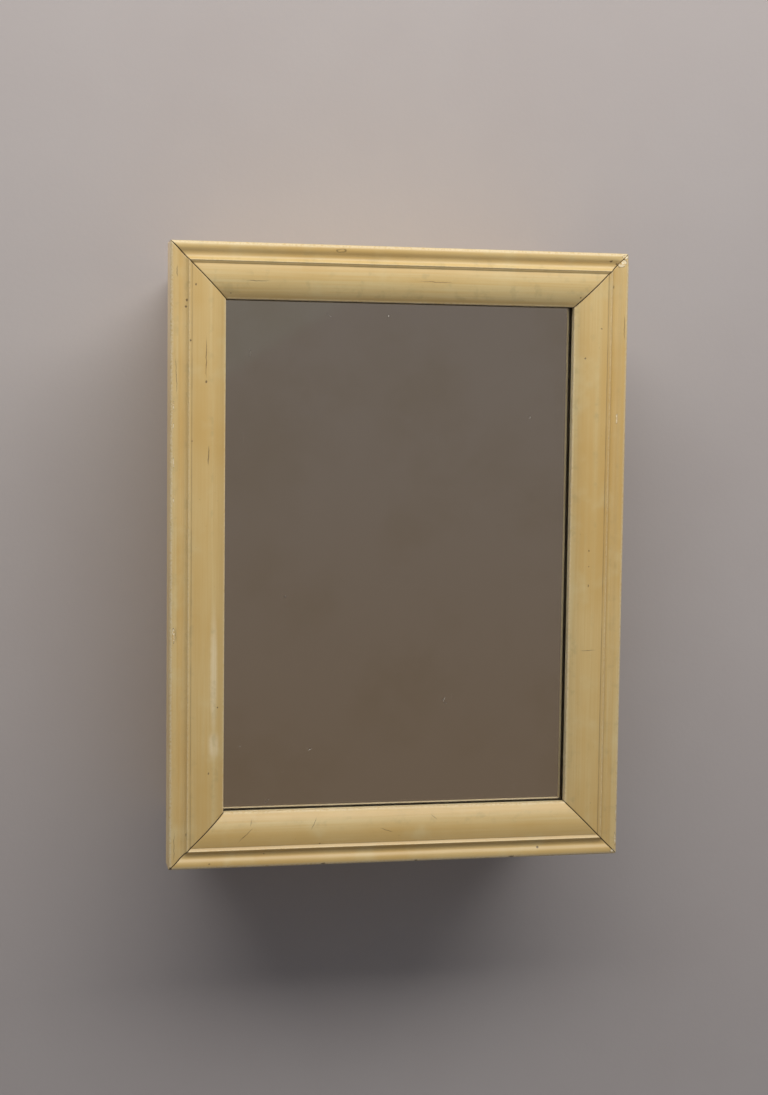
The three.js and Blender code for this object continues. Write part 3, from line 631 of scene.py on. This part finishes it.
def build_member(member, material, node):
    """One mitred length of moulding, laid along +X with its outer edge up, then turned to its side."""
    level = member in ("top", "bottom")
    half_length = (HALF_W if level else HALF_H) / MM
    edge = HALF_H if level else HALF_W
    turn = {"top": 0, "right": 90, "bottom": 180, "left": 270}[member]
    spin = Matrix.Rotation(math.radians(turn), 4, "Y")
    section = moulding_section()
    middle_ends_at = 11.0  # from the mitre, where the even spacing takes over
    mesh = bmesh.new()
    hollows = mesh.verts.layers.float.new("hollow")
    arrises = mesh.verts.layers.float.new("arris")
    rows = []
    for fraction, from_end in stations():
        row = []
        for x, y, hollow, arris in section:
            reach = half_length - x - HAIR_GAP / MM
            if from_end is None:
                along = (reach - middle_ends_at) * (2 * fraction - 1)
            else:
                along = (reach - from_end) * (1 if fraction else -1)
            to_mitre = reach - abs(along)
            front = y > FACE_FROM
            # `along` runs to the right when the top is seen from the front, and down the right side.
            seen = along if member in ("top", "left") else -along
            drop = 0.3 * max(0.0, 1 - to_mitre / 0.5) ** 2
            wave = 0.05 + 0.05 * noise(Vector((along * 0.014, x * 0.09, turn + 3.1)))
            forward = y - front * (drop + wave + broken_tip(member, seen, x))
            v = mesh.verts.new(spin @ Vector((along * MM, 0, edge - x * MM)))
            v.co.y = DOOR_BACK - forward * MM
            # The paint darkens within 0.4 mm of the mitre.
            v[hollows] = max(hollow, front * 1.5 * max(0.0, 1 - to_mitre / 0.4))
            v[arrises] = arris
            row.append(v)
        rows.append(row)
    bridge_rings(mesh, rows)
    caps = [mesh.faces.new(rows[0][::-1]), mesh.faces.new(rows[-1])]
    bmesh.ops.triangulate(mesh, faces=caps)
    face_outward(mesh)
    return finish_piece("moulding_" + member, mesh, material, "door", node, smooth=35)


# ---- making pieces


def show(thing):
    bpy.context.scene.collection.objects.link(thing)


def face_outward(mesh):
    bmesh.ops.recalc_face_normals(mesh, faces=mesh.faces)


def add_object(name, mesh):
    """A bmesh as an object in the scene."""
    data = bpy.data.meshes.new(name)
    mesh.to_mesh(data)
    mesh.free()
    thing = bpy.data.objects.new(name, data)
    show(thing)
    return thing


def finish_piece(name, mesh, material, body, node=None, smooth=None):
    """Turns a bmesh into a named piece that rides on a body and may stand for a CAD node."""
    piece = add_object(name, mesh)
    piece.data.materials.append(material)
    if smooth:
        smooth_below(piece, smooth)
    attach(piece, body)
    if node:
        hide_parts(node)
    return piece


def smooth_below(piece, degrees):
    """Smooth shading, except over edges sharper than this."""
    data = piece.data
    data.polygons.foreach_set("use_smooth", [True] * len(data.polygons))
    data.set_sharp_from_angle(angle=math.radians(degrees))


def rounded_slab(low, high, radius, segments=2):
    mesh = bmesh.new()
    size = high - low
    place = moved_by((low + high) / 2) @ Matrix.Diagonal((*size, 1))
    bmesh.ops.create_cube(mesh, size=1, matrix=place)
    edges = mesh.edges[:]
    bmesh.ops.bevel(mesh, geom=edges, offset=radius, segments=segments, affect="EDGES", profile=0.5)
    return mesh


def turned(outline, sides):
    """A closed round piece about Z from its (radius, z) outline, which starts and ends on the axis."""
    mesh = bmesh.new()
    rings = []
    for radius, z in outline:
        angles = [2 * math.pi * i / sides for i in range(sides if radius else 1)]
        rings.append([mesh.verts.new((radius * math.cos(a), radius * math.sin(a), z)) for a in angles])
    bridge_rings(mesh, rings)
    return mesh


def turned_ring(outline, sides):
    """The same with a hole through it, from an outline that keeps clear of the axis."""
    mesh = turned([*outline, outline[0]], sides)
    bmesh.ops.remove_doubles(mesh, verts=mesh.verts, dist=1e-7)
    face_outward(mesh)
    return mesh


def bridge_rings(mesh, rings):
    """Joins rings of corners in turn. A ring may be a single point."""
    for lower, upper in zip(rings, rings[1:]):
        count = max(len(lower), len(upper))
        for i in range(count):
            j = (i + 1) % count
            corners = [ring[k % len(ring)] for ring, k in ((lower, i), (lower, j), (upper, j), (upper, i))]
            mesh.faces.new(dict.fromkeys(corners))
    face_outward(mesh)


def mend(data):
    """Welds the slivers that cutting leaves, and closes the pinholes they make."""
    mesh = bmesh.new()
    mesh.from_mesh(data)
    bmesh.ops.remove_doubles(mesh, verts=mesh.verts, dist=SLIVER)
    bmesh.ops.dissolve_degenerate(mesh, edges=mesh.edges, dist=SLIVER)
    spare = [e for e in mesh.edges if not e.link_faces]
    bmesh.ops.delete(mesh, geom=spare, context="EDGES")
    bmesh.ops.holes_fill(mesh, edges=[e for e in mesh.edges if e.is_boundary], sides=8)
    mesh.to_mesh(data)
    mesh.free()
    data.validate()


def combine(piece, tools, operation="DIFFERENCE"):
    """Cuts or joins a piece with other meshes, in turn, and keeps the result as the piece's mesh."""
    helpers = [add_object("tool", tool) for tool in tools]
    for helper in helpers:
        step = piece.modifiers.new("step", "BOOLEAN")
        step.object = helper
        step.operation = operation
        step.solver = "EXACT"
    seen = piece.evaluated_get(bpy.context.evaluated_depsgraph_get())
    result = bpy.data.meshes.new_from_object(seen)
    mend(result)
    piece.modifiers.clear()
    old = piece.data
    name = old.name
    piece.data = result
    bpy.data.meshes.remove(old)
    result.name = name
    for helper in helpers:
        bpy.data.meshes.remove(helper.data)


def box_tool(low, high):
    return rounded_slab(Vector(low), Vector(high), 0.1 * MM, 1)


def placed(mesh, matrix):
    """The mesh itself, moved."""
    mesh.transform(matrix)
    return mesh


# ---- screws, nails and pins

HEADS = {  # the way a fastener's head faces, as the turn of its own +Z
    "-Y": Matrix.Rotation(math.pi / 2, 4, "X"),
    "+Y": Matrix.Rotation(-math.pi / 2, 4, "X"),
    "-X": Matrix.Rotation(-math.pi / 2, 4, "Y"),
    "+X": Matrix.Rotation(math.pi / 2, 4, "Y"),
}


def head_place(node, facing):
    """Where a fastener's head is, its turn, its head's radius and its length, from its node's box."""
    low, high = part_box(node)
    axis = "XYZ".index(facing[1])
    middle = (low + high) / 2
    middle[axis] = (high if facing[0] == "+" else low)[axis]
    return moved_by(middle) @ HEADS[facing], (high.z - low.z) / 2, (high - low)[axis]


def screw(node, facing, material, body):
    """A countersunk wood screw with a slotted head and a rolled thread."""
    place, head, length = head_place(node, facing)
    shank, neck, tip = head / 2, length * 0.3, 2.2 * MM
    slot_width, slot_depth, pitch, ridge = 0.5 * MM, 0.6 * MM, 0.9 * MM, 0.28
    sides, per_turn = 24, 8
    mesh = bmesh.new()
    rings = [[mesh.verts.new((0, 0, 0))]]
    under_head = [(shank * 0.95, shank - head), (shank * 0.95, -neck)]
    profile = [(head - 0.1 * MM, 0.0), (head, -0.08 * MM), *under_head]
    count = round((length - neck) / pitch * per_turn)
    for i in range(1, count):
        profile.append((None, -neck - (length - neck) * i / count))
    for radius, z in profile:
        ring = []
        for k in range(sides):
            angle = 2 * math.pi * k / sides
            if radius is None:
                wave = (z / pitch + k / sides) % 1.0
                taper = min(1.0, (length + z) / tip)
                fade = min(1.0, (-z - neck) / pitch)
                r = shank * taper * (0.7 + ridge * fade * max(0.0, 1 - abs(wave - 0.5) / ridge))
            else:
                r = radius
            ring.append(mesh.verts.new((r * math.cos(angle), r * math.sin(angle), z)))
        rings.append(ring)
    rings.append([mesh.verts.new((0, 0, -length + 0.05 * MM))])
    bridge_rings(mesh, rings)
    piece = finish_piece(node + "_shown", mesh, material, body, node)
    tilt = Matrix.Rotation(noise(place.translation * 90) * math.pi, 4, "Z")
    half = head + MM
    cutter = box_tool((-half, -slot_width / 2, -slot_depth), (half, slot_width / 2, MM))
    combine(piece, [placed(cutter, tilt)])
    piece.data.transform(place)
    smooth_below(piece, 40)
    return piece


def nail(node, facing, material):
    """A lost-head wire nail, its head a little below the paint."""
    place, head, length = head_place(node, facing)
    shank = head * 0.53
    crown = [(0, 0.0), (head * 0.55, 0.0), (head * 0.93, -0.12 * MM), (head, -0.35 * MM)]
    neck = [(head * 0.95, -0.85 * MM), (shank, -1.15 * MM)]
    tip = [(shank, -length + 2 * MM), (shank * 0.5, -length + 0.8 * MM), (0, -length + 0.02 * MM)]
    mesh = placed(turned(crown + neck + tip, 20), place)
    return finish_piece(node + "_shown", mesh, material, "cabinet", node, smooth=40)


# ---- hinges

LEAF = 1.2 * MM  # how thick a hinge leaf is
LEAF_FROM = 0.3 * MM  # and how far behind or before the pin's axis it begins
EYE, BORE = 2.8 * MM, 1.5 * MM  # radius of the rolled eyes and of the hole through them
EYE_ROOM = 0.15 * MM  # kept free above and below each eye


def leaf_plate(low, high, corner=0.9 * MM, steps=5):
    """A flat plate between two corners, with its outline's corners rounded as seen along Y."""
    middle, half = (low + high) / 2, (high - low) / 2
    mesh = bmesh.new()
    rings = []
    for depth in (low.y, high.y):
        ring = []
        for start, (sx, sz) in enumerate(((1, 1), (-1, 1), (-1, -1), (1, -1))):
            for i in range(steps + 1):
                a = (start + i / steps) * math.pi / 2
                x = middle.x + sx * (half.x - corner) + corner * math.cos(a)
                z = middle.z + sz * (half.z - corner) + corner * math.sin(a)
                ring.append(mesh.verts.new((x, depth, z)))
        rings.append(ring)
    bridge_rings(mesh, rings)
    mesh.faces.new(rings[0][::-1])
    mesh.faces.new(rings[1])
    face_outward(mesh)
    return mesh


def knuckle(axis_x, axis_y, low, high):
    """One rolled eye of a leaf: a short tube about the pin, its rims eased."""
    ease = 0.15 * MM
    eased_rims = [(EYE - ease, low), (EYE, low + ease), (EYE, high - ease), (EYE - ease, high)]
    mesh = turned_ring([(BORE, low), *eased_rims, (BORE, high)], 40)
    return placed(mesh, moved_by((axis_x, axis_y, 0)))


def build_hinge(where, brass):
    """Two leaves whose eyes take turns along a pin with domed caps, and their four screws."""
    joint = next(j for j in frame["joints"] if j["name"] == "door_hinge")
    axis_x, axis_y, _ = joint["pos_m"]
    # The flat of a leaf begins at flat_from from the pin's axis, and a tab joins it to each eye.
    flat_from, tab_from, tab_to, inside = 3.1 * MM, 2.0 * MM, 3.6 * MM, 0.02 * MM
    pin_node = f"hinge_{where}_pin"
    pin_low, pin_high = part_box(pin_node)
    middle = (pin_low.z + pin_high.z) / 2
    leaves = (("door", (1, 3), -1, "door", "+Y"), ("carcass", (0, 2, 4), 1, "cabinet", "-Y"))
    for leaf, knuckles, sign, body, facing in leaves:
        node = f"hinge_{where}_{leaf}_leaf"
        screws = [f"hinge_{where}_{leaf}_screw_{number}" for number in (1, 2)]
        low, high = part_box(node)
        low.z, high.z = low.z - middle, high.z - middle  # made about z = 0, then raised into place
        pitch = (high.z - low.z) / 5
        y0, y1 = sorted((axis_y + sign * LEAF_FROM, axis_y + sign * (LEAF_FROM + LEAF)))
        plate = leaf_plate(Vector((axis_x + flat_from, y0, low.z)), Vector((high.x, y1, high.z)))
        piece = finish_piece(node + "_shown", plate, brass, body, node)
        eyes, tabs = [], []
        for i in knuckles:
            z0, z1 = low.z + i * pitch + EYE_ROOM, low.z + (i + 1) * pitch - EYE_ROOM
            eyes.append(knuckle(axis_x, axis_y, z0, z1))
            tabs.append(box_tool((axis_x + tab_from, y0 + inside, z0), (axis_x + tab_to, y1 - inside, z1)))
        for part in tabs + eyes:
            combine(piece, [part], "UNION")
        down = moved_by((0, 0, -middle))
        holes = [screw_hole(name, facing, 0.25 * MM, 0.5 * MM, 2 * MM) for name in screws]
        combine(piece, [placed(hole, down) for hole in holes])
        piece.data.transform(moved_by((0, 0, middle)))
        smooth_below(piece, 35)
        for name in screws:
            screw(name, facing, brass, body)
    half = (pin_high.z - pin_low.z) / 2
    shaft, cap = 1.2 * MM, 1.9 * MM
    dome = [(cap * math.cos(a), half - MM + MM * math.sin(a)) for a in (0.2, 0.5, 0.8, 1.1, 1.35)]
    top = [(shaft, half - MM), (cap, half - MM + 0.02 * MM), *dome, (0, half)]
    bottom = [(r, -z) for r, z in reversed(top)]
    pin = placed(turned(bottom + top, 32), moved_by((axis_x, axis_y, middle)))
    finish_piece(pin_node + "_shown", pin, brass, "cabinet", pin_node, smooth=35)


# ---- pockets in the moulding


def screw_hole(node, facing, room, above, through=None):
    """A tool for a screw's countersunk hole, with room round it. It goes through a thin plate, or past
    the screw's tip."""
    place, head, length = head_place(node, facing)
    wide, narrow = head + room, head / 2 + room
    foot = [(narrow, -through), (0, -through)] if through else [(narrow, -length), (0, -length - room)]
    outline = [(0, above), (wide, above), (wide, 0.0), (narrow, narrow - wide), *foot]
    return placed(turned(outline, 32 if through else 24), place)


def cut_pockets(moulding):
    """The hinges, the strike plate's screws and the mitre fasteners are let into the moulding."""
    room, reach, past_end, leaf_depth = 0.3 * MM, 3.4 * MM, 0.7 * MM, 1.8 * MM
    strike_screws = ["strike_screw_upper", "strike_screw_lower"]
    tools = []
    for where in ("upper", "lower"):
        low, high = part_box(f"hinge_{where}_pin")
        middle = (low + high) / 2
        pin_low = (middle.x - reach - 0.5 * MM, middle.y - reach, low.z - past_end)
        tools.append(box_tool(pin_low, (middle.x + reach, DOOR_BACK + MM, high.z + past_end)))
        low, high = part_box(f"hinge_{where}_door_leaf")
        leaf_low = (middle.x, middle.y - leaf_depth, low.z - room)
        tools.append(box_tool(leaf_low, (high.x + room, DOOR_BACK + MM, high.z + room)))
        for number in (1, 2):
            tools.append(screw_hole(f"hinge_{where}_door_screw_{number}", "+Y", room, 2 * MM))
    combine(moulding["left"], tools)
    combine(moulding["right"], [screw_hole(name, "+Y", room, 2 * MM) for name in strike_screws])
    for end in ("top", "bottom"):
        for side in ("left", "right"):
            for member in (moulding[end], moulding[side]):
                combine(member, [wavy_slot(f"mitre_fastener_{end}_{side}", room)])
    for member in moulding.values():
        smooth_below(member, 35)


def wavy_slot(node, room):
    """The slot that a corrugated fastener has cut: the fastener's own outline, widened."""
    mesh = bmesh.new()
    mesh.from_mesh(frame["nodes"][node].data)
    bmesh.ops.remove_doubles(mesh, verts=mesh.verts, dist=1e-6)
    face_outward(mesh)
    mesh.normal_update()
    shifts = [v.normal * v.calc_shell_factor() * room for v in mesh.verts]
    for v, shift in zip(mesh.verts, shifts):
        v.co += shift
        if v.co.y > DOOR_BACK - MM:
            v.co.y = DOOR_BACK + MM
    return mesh


# ---- pieces kept as the frame has them


def eased(node, material, width, segments=2):
    """Keeps a node's own shape, with its sharp edges eased and a material."""
    piece = frame["nodes"][node]
    for holder in piece.material_slots:
        holder.material = material
    weld = piece.modifiers.new("weld", "WELD")
    weld.merge_threshold = 0.01 * MM
    ease = piece.modifiers.new("ease", "BEVEL")
    ease.width = width
    ease.segments = segments
    ease.limit_method = "ANGLE"
    ease.angle_limit = math.radians(30)
    ease.use_clamp_overlap = True
    ease.harden_normals = True


def build_screw_cup(side, brass):
    """A pressed cup: its rim rises to a crest, and inside that it dips to the screw's hole."""
    node = "screw_cup_" + side
    low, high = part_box(node)
    outer, height = (high.x - low.x) / 2 / MM, (high.y - low.y) / MM
    hole, lip, thick, rim = 2.6, 3.9, 0.55, 0.4
    crest = lip + 1.1
    under = [(hole, 0.05), (hole + 0.5, 0.0), (lip + thick, height - thick - 0.2)]
    edge = [(crest - 0.2, height - thick), (outer - rim - 0.2, 0.0), (outer - 0.1, 0.1), (outer, rim * 0.7)]
    top = [(outer - 0.25, rim + 0.3), (crest + 0.7, height - 0.25), (crest + 0.2, height - 0.03)]
    dip = [(crest - 0.3, height), (lip + 0.15, height - 0.05), (lip - 0.2, height - 0.4), (hole, thick)]
    outline = [(radius * MM, z * MM) for radius, z in under + edge + top + dip]
    middle = (low + high) / 2
    place = moved_by((middle.x, high.y, middle.z)) @ HEADS["-Y"]
    mesh = placed(turned_ring(outline, 48), place)
    finish_piece(node + "_shown", mesh, brass, "cabinet", node, smooth=40)


# ---- the mirror


# Spots where the silvering is scratched: middle in x and z, half length, half width, in mm, and lean.
MIRROR_MARKS = [
    (32.4, -94.8, 2.2, 0.5, 60), (33.6, -97.2, 1.2, 0.4, -20), (-74.5, -25.8, 1.1, 0.6, 0),
    (-56.7, -126, 2.4, 0.4, 25), (-85, -159.6, 2.6, 0.3, 45), (-98, 131, 3.2, 0.22, 88),
    (-47, 156, 3, 0.25, -40), (-8, 156.5, 1, 0.4, 0), (88, 92, 1.6, 0.3, 70),
]


def mirror_silvering(flecks_group, stroke):
    """Silver with tarnish, pale and dark specks, fine scuffs and the scratches above."""
    silver, s, shader = new_material("mirror silvering")
    place = s.place()
    elsewhere = s.stretch(place, (1, 1, 1), (3.7, 1.3, 5.1))
    pale = s.group(flecks_group, Vector=place, Density=60.0, Size=0.045)["Mask"]
    dark = s.group(flecks_group, Vector=elsewhere, Density=70.0, Size=0.035)["Mask"]
    scuffs = s.noise(s.stretch(place, (1500.0, 1.0, 60.0)), 1.0, 2.0)
    scuffed = s.times(s.ramp(scuffs, 0.68, 0.8), s.ramp(s.noise(place, 19.0, 2.0), 0.55, 0.7))
    worn = 0.0
    for mark in MIRROR_MARKS:
        worn = s.over(worn, s.ramp(stroke_inside(s, stroke, place, 0.0, 1.0, *mark), 0.0, 0.6))
    ragged = s.ramp(s.noise(place, 900.0, 3.0, 0.7), 0.42, 0.56)
    pale = s.over(pale, s.times(worn, ragged))
    tarnish = s.noise(place, 14.0, 5.0, 0.6)
    colour = s.mix(s.ramp(tarnish, 0.4, 0.75), SILVER, SILVER_TARNISHED)
    colour = s.mix(s.times(dark, 0.7), colour, SILVER_SPOT)
    spoiled = s.over(pale, s.times(scuffed, 0.3))
    s.fill(
        shader,
        Base_Color=s.mix(s.times(spoiled, 0.7), colour, SILVER_BARE),
        Metallic=s.minus(1.0, s.times(spoiled, 0.8)),
        Roughness=s.times(s.over(pale, dark), 0.5),
    )
    return silver


def build_mirror(flecks_group, stroke):
    """A clear pane, and behind it the film of silver."""
    low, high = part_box("mirror_glass")
    glass, s, shader = new_material(
        "mirror glass", Transmission_Weight=1.0, IOR=1.52, Metallic=0.0, Base_Color=(0.985, 0.985, 0.98, 1)
    )
    smudge = s.noise(s.place(), 28.0, 4.0, 0.6)
    s.fill(shader, Roughness=s.ramp(smudge, 0.5, 0.9, 0.0, 0.03))
    pane = rounded_slab(low, high, 0.4 * MM)
    finish_piece("mirror_pane", pane, glass, "door", "mirror_glass")

    gap, thick = 0.03 * MM, 0.1 * MM
    low.y, high.y = high.y + gap, high.y + gap + thick
    film = rounded_slab(low, high, 0.02 * MM, 1)
    finish_piece("mirror_silver", film, mirror_silvering(flecks_group, stroke), "door")


# ---- camera, light, wall and floor


def build_camera():
    """Looks at the door from a little to the left of its middle, and above it."""
    data = bpy.data.cameras.new("camera")
    data.sensor_width, data.lens = 36, 58.6
    camera = bpy.data.objects.new("camera", data)
    show(camera)
    right = Vector((0.9808, -0.1947, 0.0122))
    up = Vector((0.0027, 0.0761, 0.9971))
    facing = Matrix((right, up, right.cross(up))).transposed().to_4x4()
    camera.matrix_world = moved_by((-0.2367, FRONT - 1.1255, 0.0937)) @ facing
    bpy.context.scene.camera = camera


def area_light(name, place, target, size, power, colour):
    data = bpy.data.lights.new(name, "AREA")
    data.shape = "RECTANGLE"
    data.size, data.size_y = size
    data.energy = power
    data.color = colour
    light = bpy.data.objects.new(name, data)
    light.location = place
    light.rotation_euler = (Vector(target) - Vector(place)).to_track_quat("-Z", "Y").to_euler()
    light.visible_camera = False
    show(light)
    return light


def wall_plaster():
    """Plaster that is clear from behind, where the wall would hide the cabinet."""
    material, s, shader = new_material("wall plaster", Roughness=0.85)
    place = s.place()
    colour = s.mix(s.ramp(s.noise(place, 3.0, 4.0, 0.6), 0.3, 0.7), WALL, WALL_SHADE)
    s.fill(shader, Base_Color=colour, Normal=s.bump(s.noise(place, 260.0), 0.25 * MM, 0.35))
    nodes = material.node_tree.nodes
    behind = s.add("ShaderNodeNewGeometry").outputs["Backfacing"]
    clear = s.add("ShaderNodeBsdfTransparent").outputs[0]
    swap = s.op("ShaderNodeMixShader", behind, nodes["Principled BSDF"].outputs[0], clear)
    s.fill(nodes["Material Output"].inputs, Surface=swap)
    return material


def pale_floor():
    material, s, shader = new_material("pale floor", Roughness=0.7)
    drift = s.ramp(s.noise(s.place(), 1.5), 0.3, 0.7)
    s.fill(shader, Base_Color=s.mix(drift, FLOOR, FLOOR_SHADE))
    return material


def lay_sheet(name, half_width, place, material):
    """A flat square that belongs to the room."""
    mesh = bmesh.new()
    bmesh.ops.create_grid(mesh, x_segments=1, y_segments=1, size=half_width, matrix=place)
    sheet = add_object(name, mesh)
    sheet.data.materials.append(material)
    return sheet


def build_world():
    """The dim room that the mirror shows, the light it sheds and a plain backdrop."""
    world = bpy.data.worlds.new("room")
    world.use_nodes = True
    world.node_tree.nodes.clear()
    s = Sheet(world.node_tree)
    split = s.add("ShaderNodeSeparateXYZ")
    s.fill(split.inputs, Vector=s.add("ShaderNodeTexCoord").outputs["Generated"])
    room = s.mix(s.ramp(split.outputs["Z"], -0.25, 0.1), ROOM_LOW, ROOM_HIGH)
    # A paler part of the room's far wall, above a slanting line.
    slant = s.minus(split.outputs["Z"], s.times(split.outputs["X"], 0.62))
    room = s.mix(s.ramp(slant, -0.052, -0.04), room, ROOM_PALE)
    path = s.add("ShaderNodeLightPath").outputs
    room = s.mix(path["Is Diffuse Ray"], room, ROOM_GLOW)
    background = s.op("ShaderNodeBackground", s.mix(path["Is Camera Ray"], room, BACKDROP))
    s.fill(s.add("ShaderNodeOutputWorld").inputs, Surface=background)
    bpy.context.scene.world = world
    bpy.context.scene.view_settings.view_transform = "Standard"


def build_room():
    """A wall behind the cabinet that only shows from the room, a pale floor, and soft light."""
    upright = Matrix.Rotation(math.pi / 2, 4, "X")
    wall_place = moved_by((0, 0.4 * MM, 1.9)) @ upright
    wall = lay_sheet("wall", 3.0, wall_place, wall_plaster())
    lay_sheet("floor", 6.0, moved_by((0, 0, FLOOR_Z)), pale_floor())
    area_light("ceiling lamp", (0.06, -1.04, 1.03), (0, 0, 0.05), (2.2, 0.66), KEY_POWER, KEY_COLOUR)
    behind = area_light("light behind", (-1.4, 2.2, 1.4), (0, 0, 0), (1.6, 1.6), BACK_POWER, BACK_COLOUR)
    shaded = bpy.data.collections.new("shaded by")
    behind.light_linking.blocker_collection = shaded
    shaded.objects.link(wall)
    shaded.collection_objects[0].light_linking.link_state = "EXCLUDE"
    build_world()


# ---- the whole cabinet

build_camera()
build_room()

flecks = build_flecks()
old_paint = build_old_paint(flecks)
stroke = build_stroke()
rail_wear = build_door_wear(stroke, "rail wear", marks_on(True))
stile_wear = build_door_wear(stroke, "stile wear", marks_on(False))
grain = build_grain()
tarnish = build_tarnish(flecks)

door_paint = (CREAM, CREAM_DEEP, CREAM_FADED)
inside_paint = (INSIDE_CREAM, INSIDE_DEEP, INSIDE_FADED)
paint_across = painted_wood("cream paint across", old_paint, "x", door_paint, rail_wear)
paint_upright = painted_wood("cream paint upright", old_paint, "z", door_paint, stile_wear)
box_across = painted_wood("cream box paint across", old_paint, "x", door_paint)
box_upright = painted_wood("cream box paint upright", old_paint, "z", door_paint)
shelf_paint = painted_wood("inside paint", old_paint, "x", inside_paint)
plywood = bare_wood("birch plywood", grain, "z", rgb(196, 158, 108), rgb(160, 120, 76))
bead_across = bare_wood("bead wood across", grain, "x", BEAD, BEAD_DARK)
bead_upright = bare_wood("bead wood upright", grain, "z", BEAD, BEAD_DARK)
board_browns = (rgb(116, 82, 52), rgb(104, 72, 45), rgb(66, 45, 28))
off_whites = (rgb(216, 210, 196), rgb(204, 196, 180), rgb(150, 138, 118))
dark_greys = (rgb(58, 56, 54), rgb(44, 42, 41), rgb(92, 88, 84))
hardboard = speckled("hardboard", flecks, board_browns, 520.0, 0.78)
plastic = speckled("catch plastic", flecks, off_whites, 260.0, 0.5)
ferrite = speckled("ferrite", flecks, dark_greys, 900.0, 0.62)
brass = old_metal("brass", tarnish, rgb(190, 156, 88), rgb(136, 106, 58), rgb(70, 58, 36), 0.8)
steel = old_metal("zinced steel", tarnish, rgb(166, 168, 172), rgb(126, 126, 128), rgb(96, 74, 56), 0.7)

moulding = {}
for side in ("top", "bottom"):
    moulding[side] = build_member(side, paint_across, "door_rail_" + side)
for side in ("left", "right"):
    moulding[side] = build_member(side, paint_upright, "door_stile_" + side)
cut_pockets(moulding)
build_mirror(flecks, stroke)

for where in ("upper", "lower"):
    build_hinge(where, brass)
    screw(f"strike_screw_{where}", "+Y", steel, "door")
    screw(f"catch_screw_{where}", "-X", steel, "cabinet")
for side in ("left", "right"):
    build_screw_cup(side, brass)
    facing = "-X" if side == "left" else "+X"
    for end in ("top", "bottom"):
        for number in (1, 2):
            nail(f"corner_nail_{end}_{side}_{number}", facing, steel)
    eased(f"carcass_side_{side}", box_upright, 0.5 * MM)
for end in ("top", "bottom"):
    eased(f"carcass_{end}", box_across, 0.5 * MM)
    eased(f"glazing_bead_{end}", bead_across, 0.25 * MM)
    for side in ("left", "right"):
        eased(f"mitre_fastener_{end}_{side}", steel, 0.1 * MM, 1)
for side in ("left", "right"):
    eased(f"glazing_bead_{side}", bead_upright, 0.25 * MM)
for level in ("upper", "lower"):
    eased(f"shelf_{level}", shelf_paint, 0.4 * MM)
eased("hanging_rail", shelf_paint, 0.8 * MM)
eased("back_panel", plywood, 0.3 * MM)
eased("mirror_backing_board", hardboard, 0.3 * MM)
eased("catch_case", plastic, 0.35 * MM, 3)
eased("catch_magnet", ferrite, 0.2 * MM)
eased("catch_strike_plate", steel, 0.15 * MM)
for pole in ("inner", "outer"):
    eased(f"catch_pole_{pole}", steel, 0.12 * MM)
